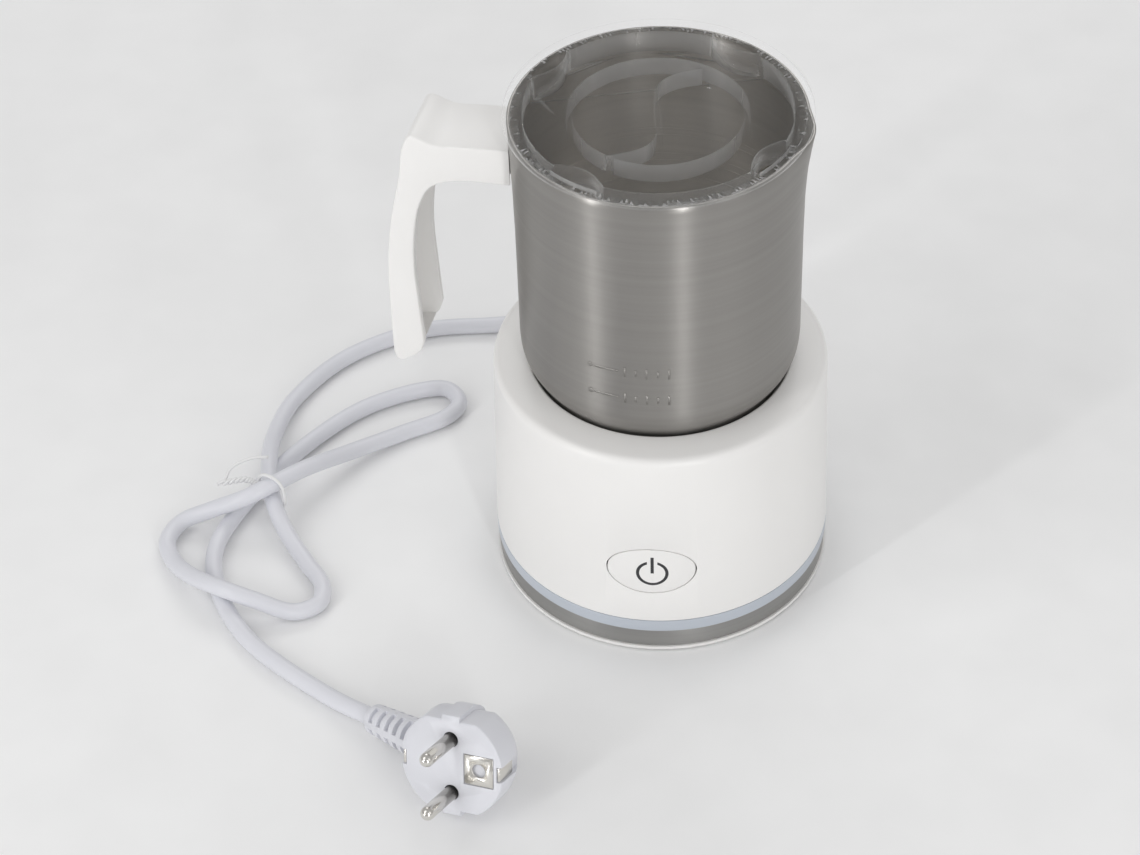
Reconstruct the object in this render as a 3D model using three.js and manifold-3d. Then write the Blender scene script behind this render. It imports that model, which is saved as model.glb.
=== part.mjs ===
// Milk frother: an induction base, a lift-off steel jug with a hollow handle, a magnetic whisk,
// a clear lid and a mains lead with its plug.
// Millimetres, +Z up. The origin is the middle of the base's underside, at table level.
// The power button faces -Y, the handle points towards -X and the lead leaves the base at +Y.
import * as THREE from 'three';
import { mergeVertices } from 'three/addons/utils/BufferGeometryUtils.js';
import Module from 'manifold-3d';

const wasm = await Module();
wasm.setup();

// ---- Driving dimensions ------------------------------------------------------------------------

const GAP = 0.3;                   // assembly clearance between pieces that touch
const OVERLAP = 0.2;               // how far joined shapes run into each other

// Overall
const JUG_RADIUS = 47.6;
const JUG_HEIGHT = 107.6;
const BASE_HEIGHT = 89;            // table to the lip of the jug recess

// Base
const BASE_RADIUS = JUG_RADIUS + 11.4;        // at the foot of the shell
const BASE_TOP_RADIUS = BASE_RADIUS - 1.8;    // at the top of the shell's tapered wall
const SHELL_WALL = 2.4;
const SHELL_EDGE = 2.4;            // rounding between the wall and the top
const TOP_RISE = 0.8;              // the top face climbs this much towards the recess
const FOOT_GAP = 0.8;              // the feet lift the bottom cover this far
const COVER_RIM = 1.2;             // visible edge of the bottom cover
const TRIM_HEIGHT = 7.4;           // satin metal band
const LIGHT_HEIGHT = 4.8;          // translucent light band
const BAND_WALL = 2.3;
const TRIM_SETBACK = 0.55;         // the metal band stands back from the shell

// Recess and seat
const RECESS_RADIUS = JUG_RADIUS - 2.9;
const RECESS_DEPTH = 9;
const RECESS_LIP = 0.9;
const SEAT_THICKNESS = 1.5;
const LEDGE_WIDTH = 3.6;
const LEDGE_THICKNESS = 1.2;

// Jug
const JUG_WALL = 0.8;
const JUG_TOP = BASE_HEIGHT - RECESS_DEPTH + GAP + JUG_HEIGHT;
const JUG_HEEL_RADIUS = RECESS_RADIUS - 2;
const JUG_FLOOR_RADIUS = JUG_HEEL_RADIUS - 5.7;
const SHOULDER_HEIGHT = 18;        // from the jug's floor to its straight wall
const RIM_FLARE = 1.2;
const SPOUT_ANGLE = -10;           // degrees from +X
const SPOUT_REACH = 2.3;
const SPOUT_HALF_ANGLE = 19;
const SPOUT_DEPTH = 30;

// Handle
const HANDLE_ANGLE = 170;
const HANDLE_WIDTH = 24.6;
const HANDLE_WALL = 2.2;
const ARM_TOP = JUG_TOP - 13.9;
const ARM_DEPTH = 14.5;
const GRIP_OUT = JUG_RADIUS + 44.7; // furthest reach of the grip from the axis
const GRIP_THICKNESS = 10.5;
const GRIP_BOTTOM = ARM_TOP - 98;

// Whisk
const POST_RADIUS = 1.6;
const POST_HEIGHT = 14;
const WHISK_HUB_RADIUS = 9;
const WHISK_HUB_HEIGHT = 6;
const WHISK_RING_RADIUS = 15.5;
const WHISK_WIRE = 1.6;
const RUNNING_CLEARANCE = 0.35;

// Lid
const LID_RADIUS = JUG_RADIUS + 2.6;
const LID_THICKNESS = 1.7;
const SKIRT_RADIUS = JUG_RADIUS - 2.4;
const SKIRT_WALL = 1.5;
const LID_WELL_DEPTH = 8;
const LID_RIM_BAND = 4;            // width of the rim outside the four pouring slots
const NOTCH_DEPTH = 4.8;
const NOTCH_HALF_ANGLE = 13;
const LID_ANGLE = 12.5;            // direction of the first rim tab
const TAB_HEIGHT = 0.4;
const GRIP_RING_RADIUS = 29.6;
const GRIP_RING_WALL = 1.9;
const GRIP_RING_HEIGHT = 6.7;
const DIVIDER_SWAY = 8.2;

// Button and switch
const BUTTON_WIDTH = 30;
const BUTTON_HEIGHT = 19.8;
const BUTTON_CENTRE = 38.7;
const BUTTON_GROOVE = 0.45;
const BUTTON_THICKNESS = 2.2;
const BUTTON_FLANGE = 1.4;

// Drive
const MOTOR_RADIUS = 13.9;
const MOTOR_LENGTH = 24;
const SHAFT_RADIUS = 1.5;
const DRIVE_HUB_RADIUS = 12;
const MAGNET_RADIUS = 3.2;
const MAGNET_THICKNESS = 2.4;

// Lead
const LEAD_DIAMETER = 6.2;
const LEAD_HEIGHT = 22;            // axis of the gland above the table
const RELIEF_ROOT_RADIUS = 5.6;
const RELIEF_TIP_RADIUS = 4;
const LEAD_STEPS = 68;
const LEAD_SIDES = 8;

// Plug
const PIN_SPACING = 19;
const PIN_RADIUS = 2.4;
const PIN_LENGTH = 19;
const PLUG_RADIUS = 18.6;
const PLUG_FLAT = 16.2;            // half width across the two flattened sides
const PLUG_DEPTH = 11;
const PLUG_BACK_DEPTH = 9.5;
const PLUG_RAIL_WIDTH = 6.4;
const PLUG_RAIL_REACH = 17.9;
const BOOT_ANGLE = 21;             // the lead leaves the plug tilted back by this much
const BOOT_LENGTH = 37;
const BOOT_ROOT = 7.6;             // half the boot's width where it leaves the plug
const BOOT_TIP = 5.2;
const PLUG_POSITION = new THREE.Vector3(-61.1, -133.5, 21.2);
const PLUG_PINS_TOWARD = new THREE.Vector3(-0.348, -0.861, 0.372);
const PLUG_TOP_TOWARD = new THREE.Vector3(-0.007, 0.399, 0.917);

// Centre line of the free lead, from the tip of its strain relief to the plug
const LEAD_ROUTE = [
  [0, 84, 22], [0, 88, 22], [-5, 98.5, 18.8], [-22, 108.5, 9.6], [-69.7, 108, 3.3], [-100, 102.8, 3.3],
  [-127, 85.5, 3.3], [-143.5, 60, 3.4], [-147.3, 38, 5.6], [-146.2, 20, 9.5], [-141.6, -0.5, 9.4],
  [-136, -11.5, 5.4], [-126, -26, 3.3], [-119, -36.5, 3.3], [-118.8, -45.5, 3.3], [-127, -50.5, 3.5],
  [-141, -49.5, 7.8], [-152, -47, 10], [-165, -38.6, 7.2], [-174, -28, 3.9], [-178.2, -17.5, 3.4],
  [-174.5, -8.2, 4], [-164, -5.2, 7.6], [-150, -4.2, 14], [-141.5, 0.8, 15.9], [-131, 12, 14],
  [-117, 29, 7], [-99, 44.5, 3.3], [-84.2, 54, 3.3], [-80.4, 62, 3.3], [-86.5, 69.6, 3.3],
  [-113, 59.5, 3.3], [-137, 33, 3.3], [-155.6, -3, 3.3], [-160, -22, 3.3], [-156, -40, 3.3],
  [-141.5, -64, 3.3], [-109, -89.6, 3.6],
];

// Middle of the wire tie round the two upper strands, and its size
const TIE_CENTRE = new THREE.Vector3(-141.9, 0.5, 12.6);
const TIE_HEADING = 62;
const TIE_HALF_WIDTH = 8.4;
const TIE_HALF_HEIGHT = 9;
const TIE_WIRE = 0.9;
const TIE_TWIST_RADIUS = 1.5;
const TIE_TWIST = [[-6.2, 3.3, 1], [-10.5, 5, 2.2], [-19, 4.4, 0.4]];

// ---- Levels worked out from the sizes above ----------------------------------------------------

const TRIM_BOTTOM = FOOT_GAP + COVER_RIM + GAP;
const TRIM_TOP = TRIM_BOTTOM + TRIM_HEIGHT;
const LIGHT_BOTTOM = TRIM_TOP + GAP;
const LIGHT_TOP = LIGHT_BOTTOM + LIGHT_HEIGHT;
const SHELL_BOTTOM = LIGHT_TOP + GAP;
const SEAT_TOP = BASE_HEIGHT - RECESS_DEPTH;
const SEAT_BOTTOM = SEAT_TOP - SEAT_THICKNESS;
const LEDGE_TOP = SEAT_BOTTOM - GAP;
const JUG_BOTTOM = SEAT_TOP + GAP;
const JUG_FLOOR = JUG_BOTTOM + JUG_WALL;
const FLANGE_BOTTOM = JUG_TOP + GAP;
const FLANGE_TOP = FLANGE_BOTTOM + LID_THICKNESS;
const LID_FLOOR = FLANGE_TOP - LID_WELL_DEPTH;
const BAND_INNER = BASE_RADIUS - BAND_WALL;
const SPIGOT_RADIUS = BAND_INNER - GAP;

const degrees = THREE.MathUtils.degToRad;

// ---- Materials ---------------------------------------------------------------------------------

const finish = (color, roughness, metalness) =>
  new THREE.MeshStandardMaterial({ color, roughness, metalness });
const whitePlastic = finish('#efeeec', 0.35, 0);
const innerPlastic = finish('#d8d8d4', 0.6, 0);
const lightPlastic = finish('#b9c0ca', 0.4, 0);
const clearPlastic = finish('#c9ccd0', 0.15, 0);
const satinMetal = finish('#8a8886', 0.35, 1);
const jugSteel = finish('#b9b6b0', 0.32, 1);
const nickel = finish('#c3bdb4', 0.2, 1);
const copper = finish('#b56b3c', 0.35, 1);
const ferrite = finish('#3c3c40', 0.7, 0);
const magnetMetal = finish('#a9abb0', 0.3, 1);
const boardGreen = finish('#2f6b43', 0.6, 0);
const darkPlastic = finish('#2b2c2f', 0.5, 0);
const rubber = finish('#c9c9c7', 0.9, 0);
const leadPlastic = finish('#d9dae2', 0.4, 0);
const tiePlastic = finish('#e6e6e6', 0.4, 0);
const aluminium = finish('#b5b8bb', 0.4, 1);

// ---- Solids ------------------------------------------------------------------------------------

function signedVolume(positions, triangles) {
  const corner = [new THREE.Vector3(), new THREE.Vector3(), new THREE.Vector3()];
  let volume = 0;
  for (let i = 0; i < triangles.length; i += 3) {
    corner.forEach((point, k) => point.fromArray(positions, triangles[i + k] * 3));
    volume += corner[0].dot(corner[1].clone().cross(corner[2])) / 6;
  }
  return volume;
}

// A closed three.js geometry as a solid that can be cut and joined.
function solid(geometry) {
  const bare = geometry.clone();
  bare.deleteAttribute('normal');
  bare.deleteAttribute('uv');
  const merged = mergeVertices(bare, 1e-4);
  const positions = merged.attributes.position.array;
  const triangles = [];
  for (let i = 0; i < merged.index.count; i += 3) {
    const [a, b, c] = [0, 1, 2].map((k) => merged.index.getX(i + k));
    if (a !== b && b !== c && c !== a) triangles.push(a, b, c);
  }
  if (signedVolume(positions, triangles) < 0) triangles.reverse();
  return new wasm.Manifold(new wasm.Mesh({
    numProp: 3,
    vertProperties: new Float32Array(positions),
    triVerts: new Uint32Array(triangles),
  }));
}

function joined(...pieces) {
  return pieces.reduce((whole, piece) => whole.add(piece));
}

function cut(body, ...tools) {
  return tools.reduce((left, tool) => left.subtract(tool), body);
}

// A surface of revolution about Z through [radius, height] points.
function turned(profile, segments = 32) {
  const points = profile.map(([radius, height]) => new THREE.Vector2(radius, height));
  const geometry = new THREE.LatheGeometry(points, segments);
  return solid(geometry.rotateX(Math.PI / 2));
}

function disc(radius, bottom, top, segments = 16) {
  return turned([[0, bottom], [radius, bottom], [radius, top], [0, top]], segments);
}

function ring(inner, outer, bottom, top, segments = 32) {
  const profile = [[inner, bottom], [outer, bottom], [outer, top], [inner, top], [inner, bottom]];
  return turned(profile, segments);
}

function block(width, depth, height, x, y, z) {
  return solid(new THREE.BoxGeometry(width, depth, height).translate(x, y, z));
}

// A flat outline in X and Y, raised between two heights.
function raised(shape, bottom, top, curveSegments = 12) {
  const options = { depth: top - bottom, bevelEnabled: false, curveSegments };
  return solid(new THREE.ExtrudeGeometry(shape, options).translate(0, 0, bottom));
}

// A side outline in X and Z, spread equally to both sides of Y = 0.
function spread(shape, width, curveSegments = 8) {
  const options = { depth: width, bevelEnabled: false, curveSegments };
  const geometry = new THREE.ExtrudeGeometry(shape, options).translate(0, 0, -width / 2);
  return solid(geometry.rotateX(Math.PI / 2));
}

function rodAlongY(radius, start, end, x, z, segments = 12) {
  const geometry = new THREE.CylinderGeometry(radius, radius, end - start, segments);
  return solid(geometry.translate(x, (start + end) / 2, z));
}

function outline(points) {
  return new THREE.Shape(points.map(([x, y]) => new THREE.Vector2(x, y)));
}

function circle(radius, sides) {
  const turn = (2 * Math.PI) / sides;
  const points = Array.from({ length: sides }, (_, i) =>
    [radius * Math.cos(i * turn), radius * Math.sin(i * turn)]);
  return outline(points);
}

function oval(width, height, sides = 24) {
  const turn = (2 * Math.PI) / sides;
  const points = Array.from({ length: sides }, (_, i) =>
    [(width / 2) * Math.cos(i * turn), (height / 2) * Math.sin(i * turn)]);
  return outline(points);
}

// A tube of one section along a smooth curve.
function tube(points, radius, steps, sides) {
  const path = new THREE.CatmullRomCurve3(points, false, 'centripetal');
  const options = { steps, extrudePath: path, bevelEnabled: false, curveSegments: 1 };
  return solid(new THREE.ExtrudeGeometry(circle(radius, sides), options));
}

function mesh(name, body, material) {
  const result = body.getMesh();
  const geometry = new THREE.BufferGeometry();
  geometry.setAttribute('position', new THREE.BufferAttribute(result.vertProperties, 3));
  geometry.setIndex(new THREE.BufferAttribute(result.triVerts, 1));
  geometry.computeVertexNormals();
  const piece = new THREE.Mesh(geometry, material);
  piece.name = name;
  return piece;
}

// A countersunk-style screw pointing up, its head at the bottom.
function screw(headRadius, headHeight, shankRadius, length) {
  const profile = [
    [0, 0], [headRadius, 0], [headRadius, headHeight], [shankRadius, headHeight],
    [shankRadius, length], [0, length],
  ];
  return turned(profile, 10);
}

// ---- Base housing ------------------------------------------------------------------------------

const FOOT_CIRCLE = BASE_RADIUS - 12;
const FOOT_RADIUS = 5;
const FOOT_POCKET = 1.4;
const SCREW_CIRCLE = BASE_RADIUS - 10;
const SCREW_ANGLES = [60, 180, 300];
const FOOT_ANGLES = [20, 110, 200, 290];
const POST_OUTER = 4;
const SCREW_SHANK = 1.4;
const SCREW_HEAD = 3;
const COVER_PLATE = 2.4;
const VENT_LENGTH = 22;
const VENT_WIDTH = 2.6;
const VENT_PITCH = 6;
const VENTS = 5;
const CLAMP_Y = BASE_RADIUS - 16;
const CLAMP_SCREW_X = 8;

const coverTop = FOOT_GAP + COVER_PLATE;
const around = (radius, angle) => [radius * Math.cos(degrees(angle)), radius * Math.sin(degrees(angle))];

function bottomCover() {
  const rim = disc(BASE_RADIUS, FOOT_GAP, FOOT_GAP + COVER_RIM, 56);
  const plate = disc(SPIGOT_RADIUS - 1, FOOT_GAP + OVERLAP, coverTop, 32);
  const spigot = ring(SPIGOT_RADIUS - 2, SPIGOT_RADIUS, FOOT_GAP + OVERLAP, LIGHT_TOP - GAP, 32);
  const posts = SCREW_ANGLES.map((angle) => {
    const [x, y] = around(SCREW_CIRCLE, angle);
    return disc(POST_OUTER, coverTop - OVERLAP, SHELL_BOTTOM, 16).translate(x, y, 0);
  });
  const boardPosts = BOARD_POSTS.map(([x, y]) =>
    disc(2.6, coverTop - OVERLAP, BOARD_BOTTOM - GAP, 12).translate(x, y, 0));
  const saddleTop = LEAD_HEIGHT - LEAD_DIAMETER / 2 - GAP;
  const saddleHeight = saddleTop - coverTop + OVERLAP;
  const saddle = block(24, 7, saddleHeight, 0, CLAMP_Y, saddleTop - saddleHeight / 2);
  const pilots = [-CLAMP_SCREW_X, CLAMP_SCREW_X].map((x) =>
    disc(SCREW_SHANK + GAP / 2, saddleTop - 8, saddleTop + 1, 12).translate(x, CLAMP_Y, 0));
  const pockets = FOOT_ANGLES.map((angle) => {
    const [x, y] = around(FOOT_CIRCLE, angle);
    return disc(FOOT_RADIUS + GAP, FOOT_GAP - 1, FOOT_GAP + FOOT_POCKET, 14).translate(x, y, 0);
  });
  const screwHoles = SCREW_ANGLES.flatMap((angle) => {
    const [x, y] = around(SCREW_CIRCLE, angle);
    const bore = disc(SCREW_SHANK + GAP, FOOT_GAP - 1, SHELL_BOTTOM + 1, 12);
    const seat = disc(SCREW_HEAD + GAP, FOOT_GAP - 1, coverTop + GAP, 12);
    return [bore.translate(x, y, 0), seat.translate(x, y, 0)];
  });
  const vents = Array.from({ length: VENTS }, (_, i) =>
    block(VENT_WIDTH, VENT_LENGTH, COVER_PLATE * 3, (i - (VENTS - 1) / 2) * VENT_PITCH, -20, FOOT_GAP));
  const whole = joined(rim, plate, spigot, ...posts, ...boardPosts, saddle);
  return cut(whole, ...pockets, ...screwHoles, ...pilots, ...vents);
}

// Radius of the shell's tapered outer wall at a height.
function wallRadius(height) {
  const share = (height - SHELL_BOTTOM) / (BASE_HEIGHT - TOP_RISE - SHELL_EDGE - SHELL_BOTTOM);
  return THREE.MathUtils.lerp(BASE_RADIUS, BASE_TOP_RADIUS, share);
}

function baseShell() {
  const shoulder = BASE_HEIGHT - TOP_RISE;
  const edge = [0, 45, 90].map((angle) => [
    BASE_TOP_RADIUS - SHELL_EDGE + SHELL_EDGE * Math.cos(degrees(angle)),
    shoulder - SHELL_EDGE + SHELL_EDGE * Math.sin(degrees(angle)),
  ]);
  const lip = [90, 45, 0].map((angle) => [
    RECESS_RADIUS + RECESS_LIP - RECESS_LIP * Math.cos(degrees(angle)),
    BASE_HEIGHT - RECESS_LIP + RECESS_LIP * Math.sin(degrees(angle)),
  ]);
  const recessWall = RECESS_RADIUS + SHELL_WALL;
  const profile = [
    [BASE_RADIUS, SHELL_BOTTOM],
    ...edge,
    ...lip,
    [RECESS_RADIUS, LEDGE_TOP],
    [RECESS_RADIUS - LEDGE_WIDTH, LEDGE_TOP],
    [RECESS_RADIUS - LEDGE_WIDTH, LEDGE_TOP - LEDGE_THICKNESS],
    [recessWall, LEDGE_TOP - LEDGE_THICKNESS],
    [recessWall, shoulder - SHELL_WALL],
    [BASE_TOP_RADIUS - SHELL_WALL, shoulder - SHELL_WALL],
    [BASE_RADIUS - SHELL_WALL, SHELL_BOTTOM],
    [BASE_RADIUS, SHELL_BOTTOM],
  ];
  const shell = turned(profile, 48);
  const bossBottom = SHELL_BOTTOM + GAP;
  const bosses = SCREW_ANGLES.map((angle) => {
    const [x, y] = around(SCREW_CIRCLE, angle);
    const post = disc(POST_OUTER, bossBottom, bossBottom + 14, 16);
    const web = block(9, 3, 12, 3.5, 0, bossBottom + 8).rotate([0, 0, angle]);
    return joined(post, web).translate(x, y, 0);
  });
  const pilots = SCREW_ANGLES.map((angle) => {
    const [x, y] = around(SCREW_CIRCLE, angle);
    return disc(SCREW_SHANK + GAP / 2, SHELL_BOTTOM - 1, bossBottom + 11, 12).translate(x, y, 0);
  });
  const outside = turned([
    [BASE_RADIUS - OVERLAP, SHELL_BOTTOM - 1], [BASE_RADIUS + 20, SHELL_BOTTOM - 1],
    [BASE_RADIUS + 20, BASE_HEIGHT], [BASE_TOP_RADIUS - OVERLAP, BASE_HEIGHT],
    [BASE_RADIUS - OVERLAP, SHELL_BOTTOM - 1],
  ], 48);
  const inner = cut(joined(...bosses), outside);
  const opening = oval(BUTTON_WIDTH + 2 * BUTTON_GROOVE, BUTTON_HEIGHT + 2 * BUTTON_GROOVE);
  const buttonHole = spread(opening, 30).translate(0, -BASE_RADIUS, BUTTON_CENTRE);
  const gland = rodAlongY(RELIEF_NECK_RADIUS + GAP, BASE_RADIUS - 14, BASE_RADIUS + 11, 0, LEAD_HEIGHT, 20);
  return cut(joined(shell, inner), ...pilots, buttonHole, gland);
}

// ---- Button and switch -------------------------------------------------------------------------

// A slice of the shell's wall, from so deep to so deep under its outer surface.
function wallSlice(from, to) {
  const low = BUTTON_CENTRE - BUTTON_HEIGHT;
  const high = BUTTON_CENTRE + BUTTON_HEIGHT;
  return turned([
    [wallRadius(low) - to, low], [wallRadius(low) - from, low],
    [wallRadius(high) - from, high], [wallRadius(high) - to, high],
    [wallRadius(low) - to, low],
  ], 64);
}

const flangeDepth = SHELL_WALL + GAP + 0.3;
const stemStart = -(BASE_RADIUS - flangeDepth - BUTTON_FLANGE - 0.9);
const stemEnd = -(BASE_RADIUS - 9.5);

function powerButton() {
  const depth = 40;
  const cap = spread(oval(BUTTON_WIDTH, BUTTON_HEIGHT), depth).translate(0, -BASE_RADIUS, BUTTON_CENTRE);
  const flangeOval = oval(BUTTON_WIDTH + 3.4, BUTTON_HEIGHT + 3.4);
  const wide = spread(flangeOval, depth).translate(0, -BASE_RADIUS, BUTTON_CENTRE);
  const face = cap.intersect(wallSlice(0, BUTTON_THICKNESS));
  const neck = cap.intersect(wallSlice(BUTTON_THICKNESS - OVERLAP, flangeDepth + OVERLAP));
  const flange = wide.intersect(wallSlice(flangeDepth, flangeDepth + BUTTON_FLANGE));
  const stem = rodAlongY(2.5, stemStart - 1, stemEnd, 0, BUTTON_CENTRE, 16);
  return joined(face, neck, flange, stem);
}

const PLUNGER_RADIUS = 1.4;
const SWITCH_FRONT = stemEnd + 2.9;
const SWITCH_BACK = SWITCH_FRONT + 4.2;
const SWITCH_BOARD_THICKNESS = 1.6;

function switchBody() {
  const middle = (SWITCH_FRONT + SWITCH_BACK) / 2;
  const housing = block(8, SWITCH_BACK - SWITCH_FRONT, 8, 0, middle, BUTTON_CENTRE);
  const bore = rodAlongY(PLUNGER_RADIUS + GAP, SWITCH_FRONT - 1, SWITCH_BACK - 0.9, 0, BUTTON_CENTRE, 16);
  return housing.subtract(bore);
}

function switchPlunger() {
  return rodAlongY(PLUNGER_RADIUS, stemEnd + GAP, SWITCH_FRONT + 2, 0, BUTTON_CENTRE, 16);
}

function switchBoard() {
  const back = SWITCH_BACK + GAP + SWITCH_BOARD_THICKNESS / 2;
  return block(26, SWITCH_BOARD_THICKNESS, 22, 0, back, BUTTON_CENTRE);
}

// ---- Induction heater and drive ----------------------------------------------------------------

const COIL_OUTER = RECESS_RADIUS - 6.2;
const COIL_INNER = 17;
const COIL_TOP = SEAT_BOTTOM - GAP - 0.3;
const COIL_BOTTOM = COIL_TOP - 3.2;
const CARRIER_TOP = COIL_BOTTOM - GAP;
const CARRIER_BOTTOM = CARRIER_TOP - 2.4;
const CARRIER_RADIUS = RECESS_RADIUS - 1.4;
const HUB_HOLE = DRIVE_HUB_RADIUS + 1.2;
const BRACKET_POST_CIRCLE = 21;
const BRACKET_ANGLES = [45, 225];
const BRACKET_TOP = CARRIER_BOTTOM - 7;
const BRACKET_THICKNESS = 1.6;
const MOTOR_TOP = BRACKET_TOP - BRACKET_THICKNESS - GAP;
const MOTOR_BOTTOM = MOTOR_TOP - MOTOR_LENGTH;
const HUB_TOP = SEAT_BOTTOM - 1;
const HUB_HEIGHT = 5.4;
const FERRITE_THICKNESS = 3;
const SENSOR_Y = 15;

function seatPlate() {
  return disc(RECESS_RADIUS - GAP, SEAT_BOTTOM, SEAT_TOP, 40);
}

function coilCarrier() {
  const plate = ring(HUB_HOLE, CARRIER_RADIUS, CARRIER_BOTTOM, CARRIER_TOP, 32);
  const postBottom = BRACKET_TOP + GAP;
  const posts = BRACKET_ANGLES.map((angle) => {
    const [x, y] = around(BRACKET_POST_CIRCLE, angle);
    return disc(3.4, postBottom, CARRIER_BOTTOM + OVERLAP, 16).translate(x, y, 0);
  });
  const pilots = BRACKET_ANGLES.map((angle) => {
    const [x, y] = around(BRACKET_POST_CIRCLE, angle);
    return disc(SCREW_SHANK + GAP / 2, postBottom - 1, postBottom + 5, 12).translate(x, y, 0);
  });
  return cut(joined(plate, ...posts), ...pilots);
}

function ferriteBar(angle) {
  const length = COIL_OUTER - COIL_INNER - 2;
  const middle = (COIL_OUTER + COIL_INNER) / 2;
  const height = CARRIER_BOTTOM - GAP - FERRITE_THICKNESS / 2;
  return block(length, 8, FERRITE_THICKNESS, middle, 0, height).rotate([0, 0, angle]);
}

function motorBracket() {
  const plate = block(56, 15, BRACKET_THICKNESS, 0, 0, BRACKET_TOP - BRACKET_THICKNESS / 2);
  const holes = [-BRACKET_POST_CIRCLE, BRACKET_POST_CIRCLE].map((x) =>
    disc(SCREW_SHANK + GAP, BRACKET_TOP - 4, BRACKET_TOP + 1, 12).translate(x, 0, 0));
  const collar = disc(4.4, BRACKET_TOP - 4, BRACKET_TOP + 1, 20);
  return cut(plate, ...holes, collar).rotate([0, 0, BRACKET_ANGLES[0]]);
}

function motorCan() {
  const can = disc(MOTOR_RADIUS, MOTOR_BOTTOM, MOTOR_TOP, 24);
  const nose = disc(3.8, MOTOR_TOP - OVERLAP, BRACKET_TOP, 20);
  const bore = disc(SHAFT_RADIUS + GAP, MOTOR_TOP - 8, BRACKET_TOP + 1, 16);
  return cut(joined(can, nose), bore);
}

function motorCap() {
  const plate = disc(MOTOR_RADIUS - 0.6, MOTOR_BOTTOM - GAP - 2.4, MOTOR_BOTTOM - GAP, 32);
  const tabs = [-6, 6].map((x) => block(2.4, 0.8, 5, x, 0, MOTOR_BOTTOM - GAP - 4));
  return joined(plate, ...tabs);
}

function motorShaft() {
  return disc(SHAFT_RADIUS, MOTOR_TOP - 7, HUB_TOP - HUB_HEIGHT + 2.4, 16);
}

function driveHub() {
  const hub = disc(DRIVE_HUB_RADIUS, HUB_TOP - HUB_HEIGHT, HUB_TOP, 24);
  const bore = disc(SHAFT_RADIUS + GAP, HUB_TOP - HUB_HEIGHT - 1, HUB_TOP - HUB_HEIGHT + 2.4 + GAP, 16);
  const pockets = [-1, 1].map((side) =>
    disc(MAGNET_RADIUS + GAP, HUB_TOP - MAGNET_THICKNESS - GAP, HUB_TOP + 1, 20)
      .translate(side * MAGNET_OFFSET, 0, 0));
  return cut(hub, bore, ...pockets);
}

const MAGNET_OFFSET = 7;

function driveMagnet(side) {
  return disc(MAGNET_RADIUS, HUB_TOP - MAGNET_THICKNESS, HUB_TOP, 20).translate(side * MAGNET_OFFSET, 0, 0);
}

function temperatureSensor() {
  return disc(1.5, COIL_TOP - 2.4, COIL_TOP, 16).translate(0, SENSOR_Y, 0);
}

// ---- Electronics -------------------------------------------------------------------------------

const BOARD_BOTTOM = 11;
const BOARD_THICKNESS = 1.6;
const BOARD_LENGTH = 74;
const BOARD_WIDTH = 54;
const BOARD_Y = -6;
const BOARD_POSTS = [-1, 1].flatMap((x) => [-1, 1].map((y) =>
  [x * (BOARD_LENGTH / 2 - 4), BOARD_Y + y * (BOARD_WIDTH / 2 - 4)]));
const boardTop = BOARD_BOTTOM + BOARD_THICKNESS;

function circuitBoard() {
  return block(BOARD_LENGTH, BOARD_WIDTH, BOARD_THICKNESS, 0, BOARD_Y, BOARD_BOTTOM + BOARD_THICKNESS / 2);
}

function capacitor() {
  return disc(8, boardTop + GAP, boardTop + 20, 24).translate(-24, -18, 0);
}

function choke() {
  const coil = solid(new THREE.TorusGeometry(7, 3.2, 6, 16));
  return coil.translate(20, -18, boardTop + GAP + 3.2);
}

function heatSink() {
  const fins = 5;
  const pitch = 4;
  const base = block(fins * pitch, 3, 22, 0, 0, 11);
  const blades = Array.from({ length: fins }, (_, i) =>
    block(1.4, 9, 22, (i - (fins - 1) / 2) * pitch, 5, 11));
  return joined(base, ...blades).translate(24, 2, boardTop + GAP);
}

function terminalBlock() {
  return block(18, 9, 10, 0, 14, boardTop + GAP + 5);
}

// ---- Lead, gland and clamp ---------------------------------------------------------------------

const RELIEF_NECK_RADIUS = 4.2;
const RELIEF_FLANGE_RADIUS = 7;
const RELIEF_START = BASE_RADIUS + GAP;
const RELIEF_TIP = LEAD_ROUTE[0][1] - GAP;

function strainRelief() {
  const flangeEnd = BASE_RADIUS - SHELL_WALL - 1;
  const radii = [[RELIEF_FLANGE_RADIUS, flangeEnd - 2], [RELIEF_FLANGE_RADIUS, flangeEnd],
    [RELIEF_NECK_RADIUS, flangeEnd], [RELIEF_NECK_RADIUS, RELIEF_START], [RELIEF_ROOT_RADIUS, RELIEF_START]];
  const ribs = 5;
  const pitch = (RELIEF_TIP - RELIEF_START - 3) / ribs;
  for (let i = 0; i < ribs; i++) {
    const radius = THREE.MathUtils.lerp(RELIEF_ROOT_RADIUS, RELIEF_TIP_RADIUS, (i + 1) / ribs);
    const start = RELIEF_START + 3 + i * pitch;
    radii.push([radius + 0.2, start], [radius - 0.5, start + pitch * 0.3], [radius, start + pitch * 0.6]);
  }
  radii.push([RELIEF_TIP_RADIUS, RELIEF_TIP]);
  const profile = [[0, flangeEnd - 2], ...radii, [0, RELIEF_TIP]];
  return turned(profile, 12).rotate([-90, 0, 0]).translate(0, 0, LEAD_HEIGHT);
}

function innerLead() {
  const start = CLAMP_Y - 9;
  const end = BASE_RADIUS - SHELL_WALL - 3 - GAP;
  return rodAlongY(LEAD_DIAMETER / 2, start, end, 0, LEAD_HEIGHT, 12);
}

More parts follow.
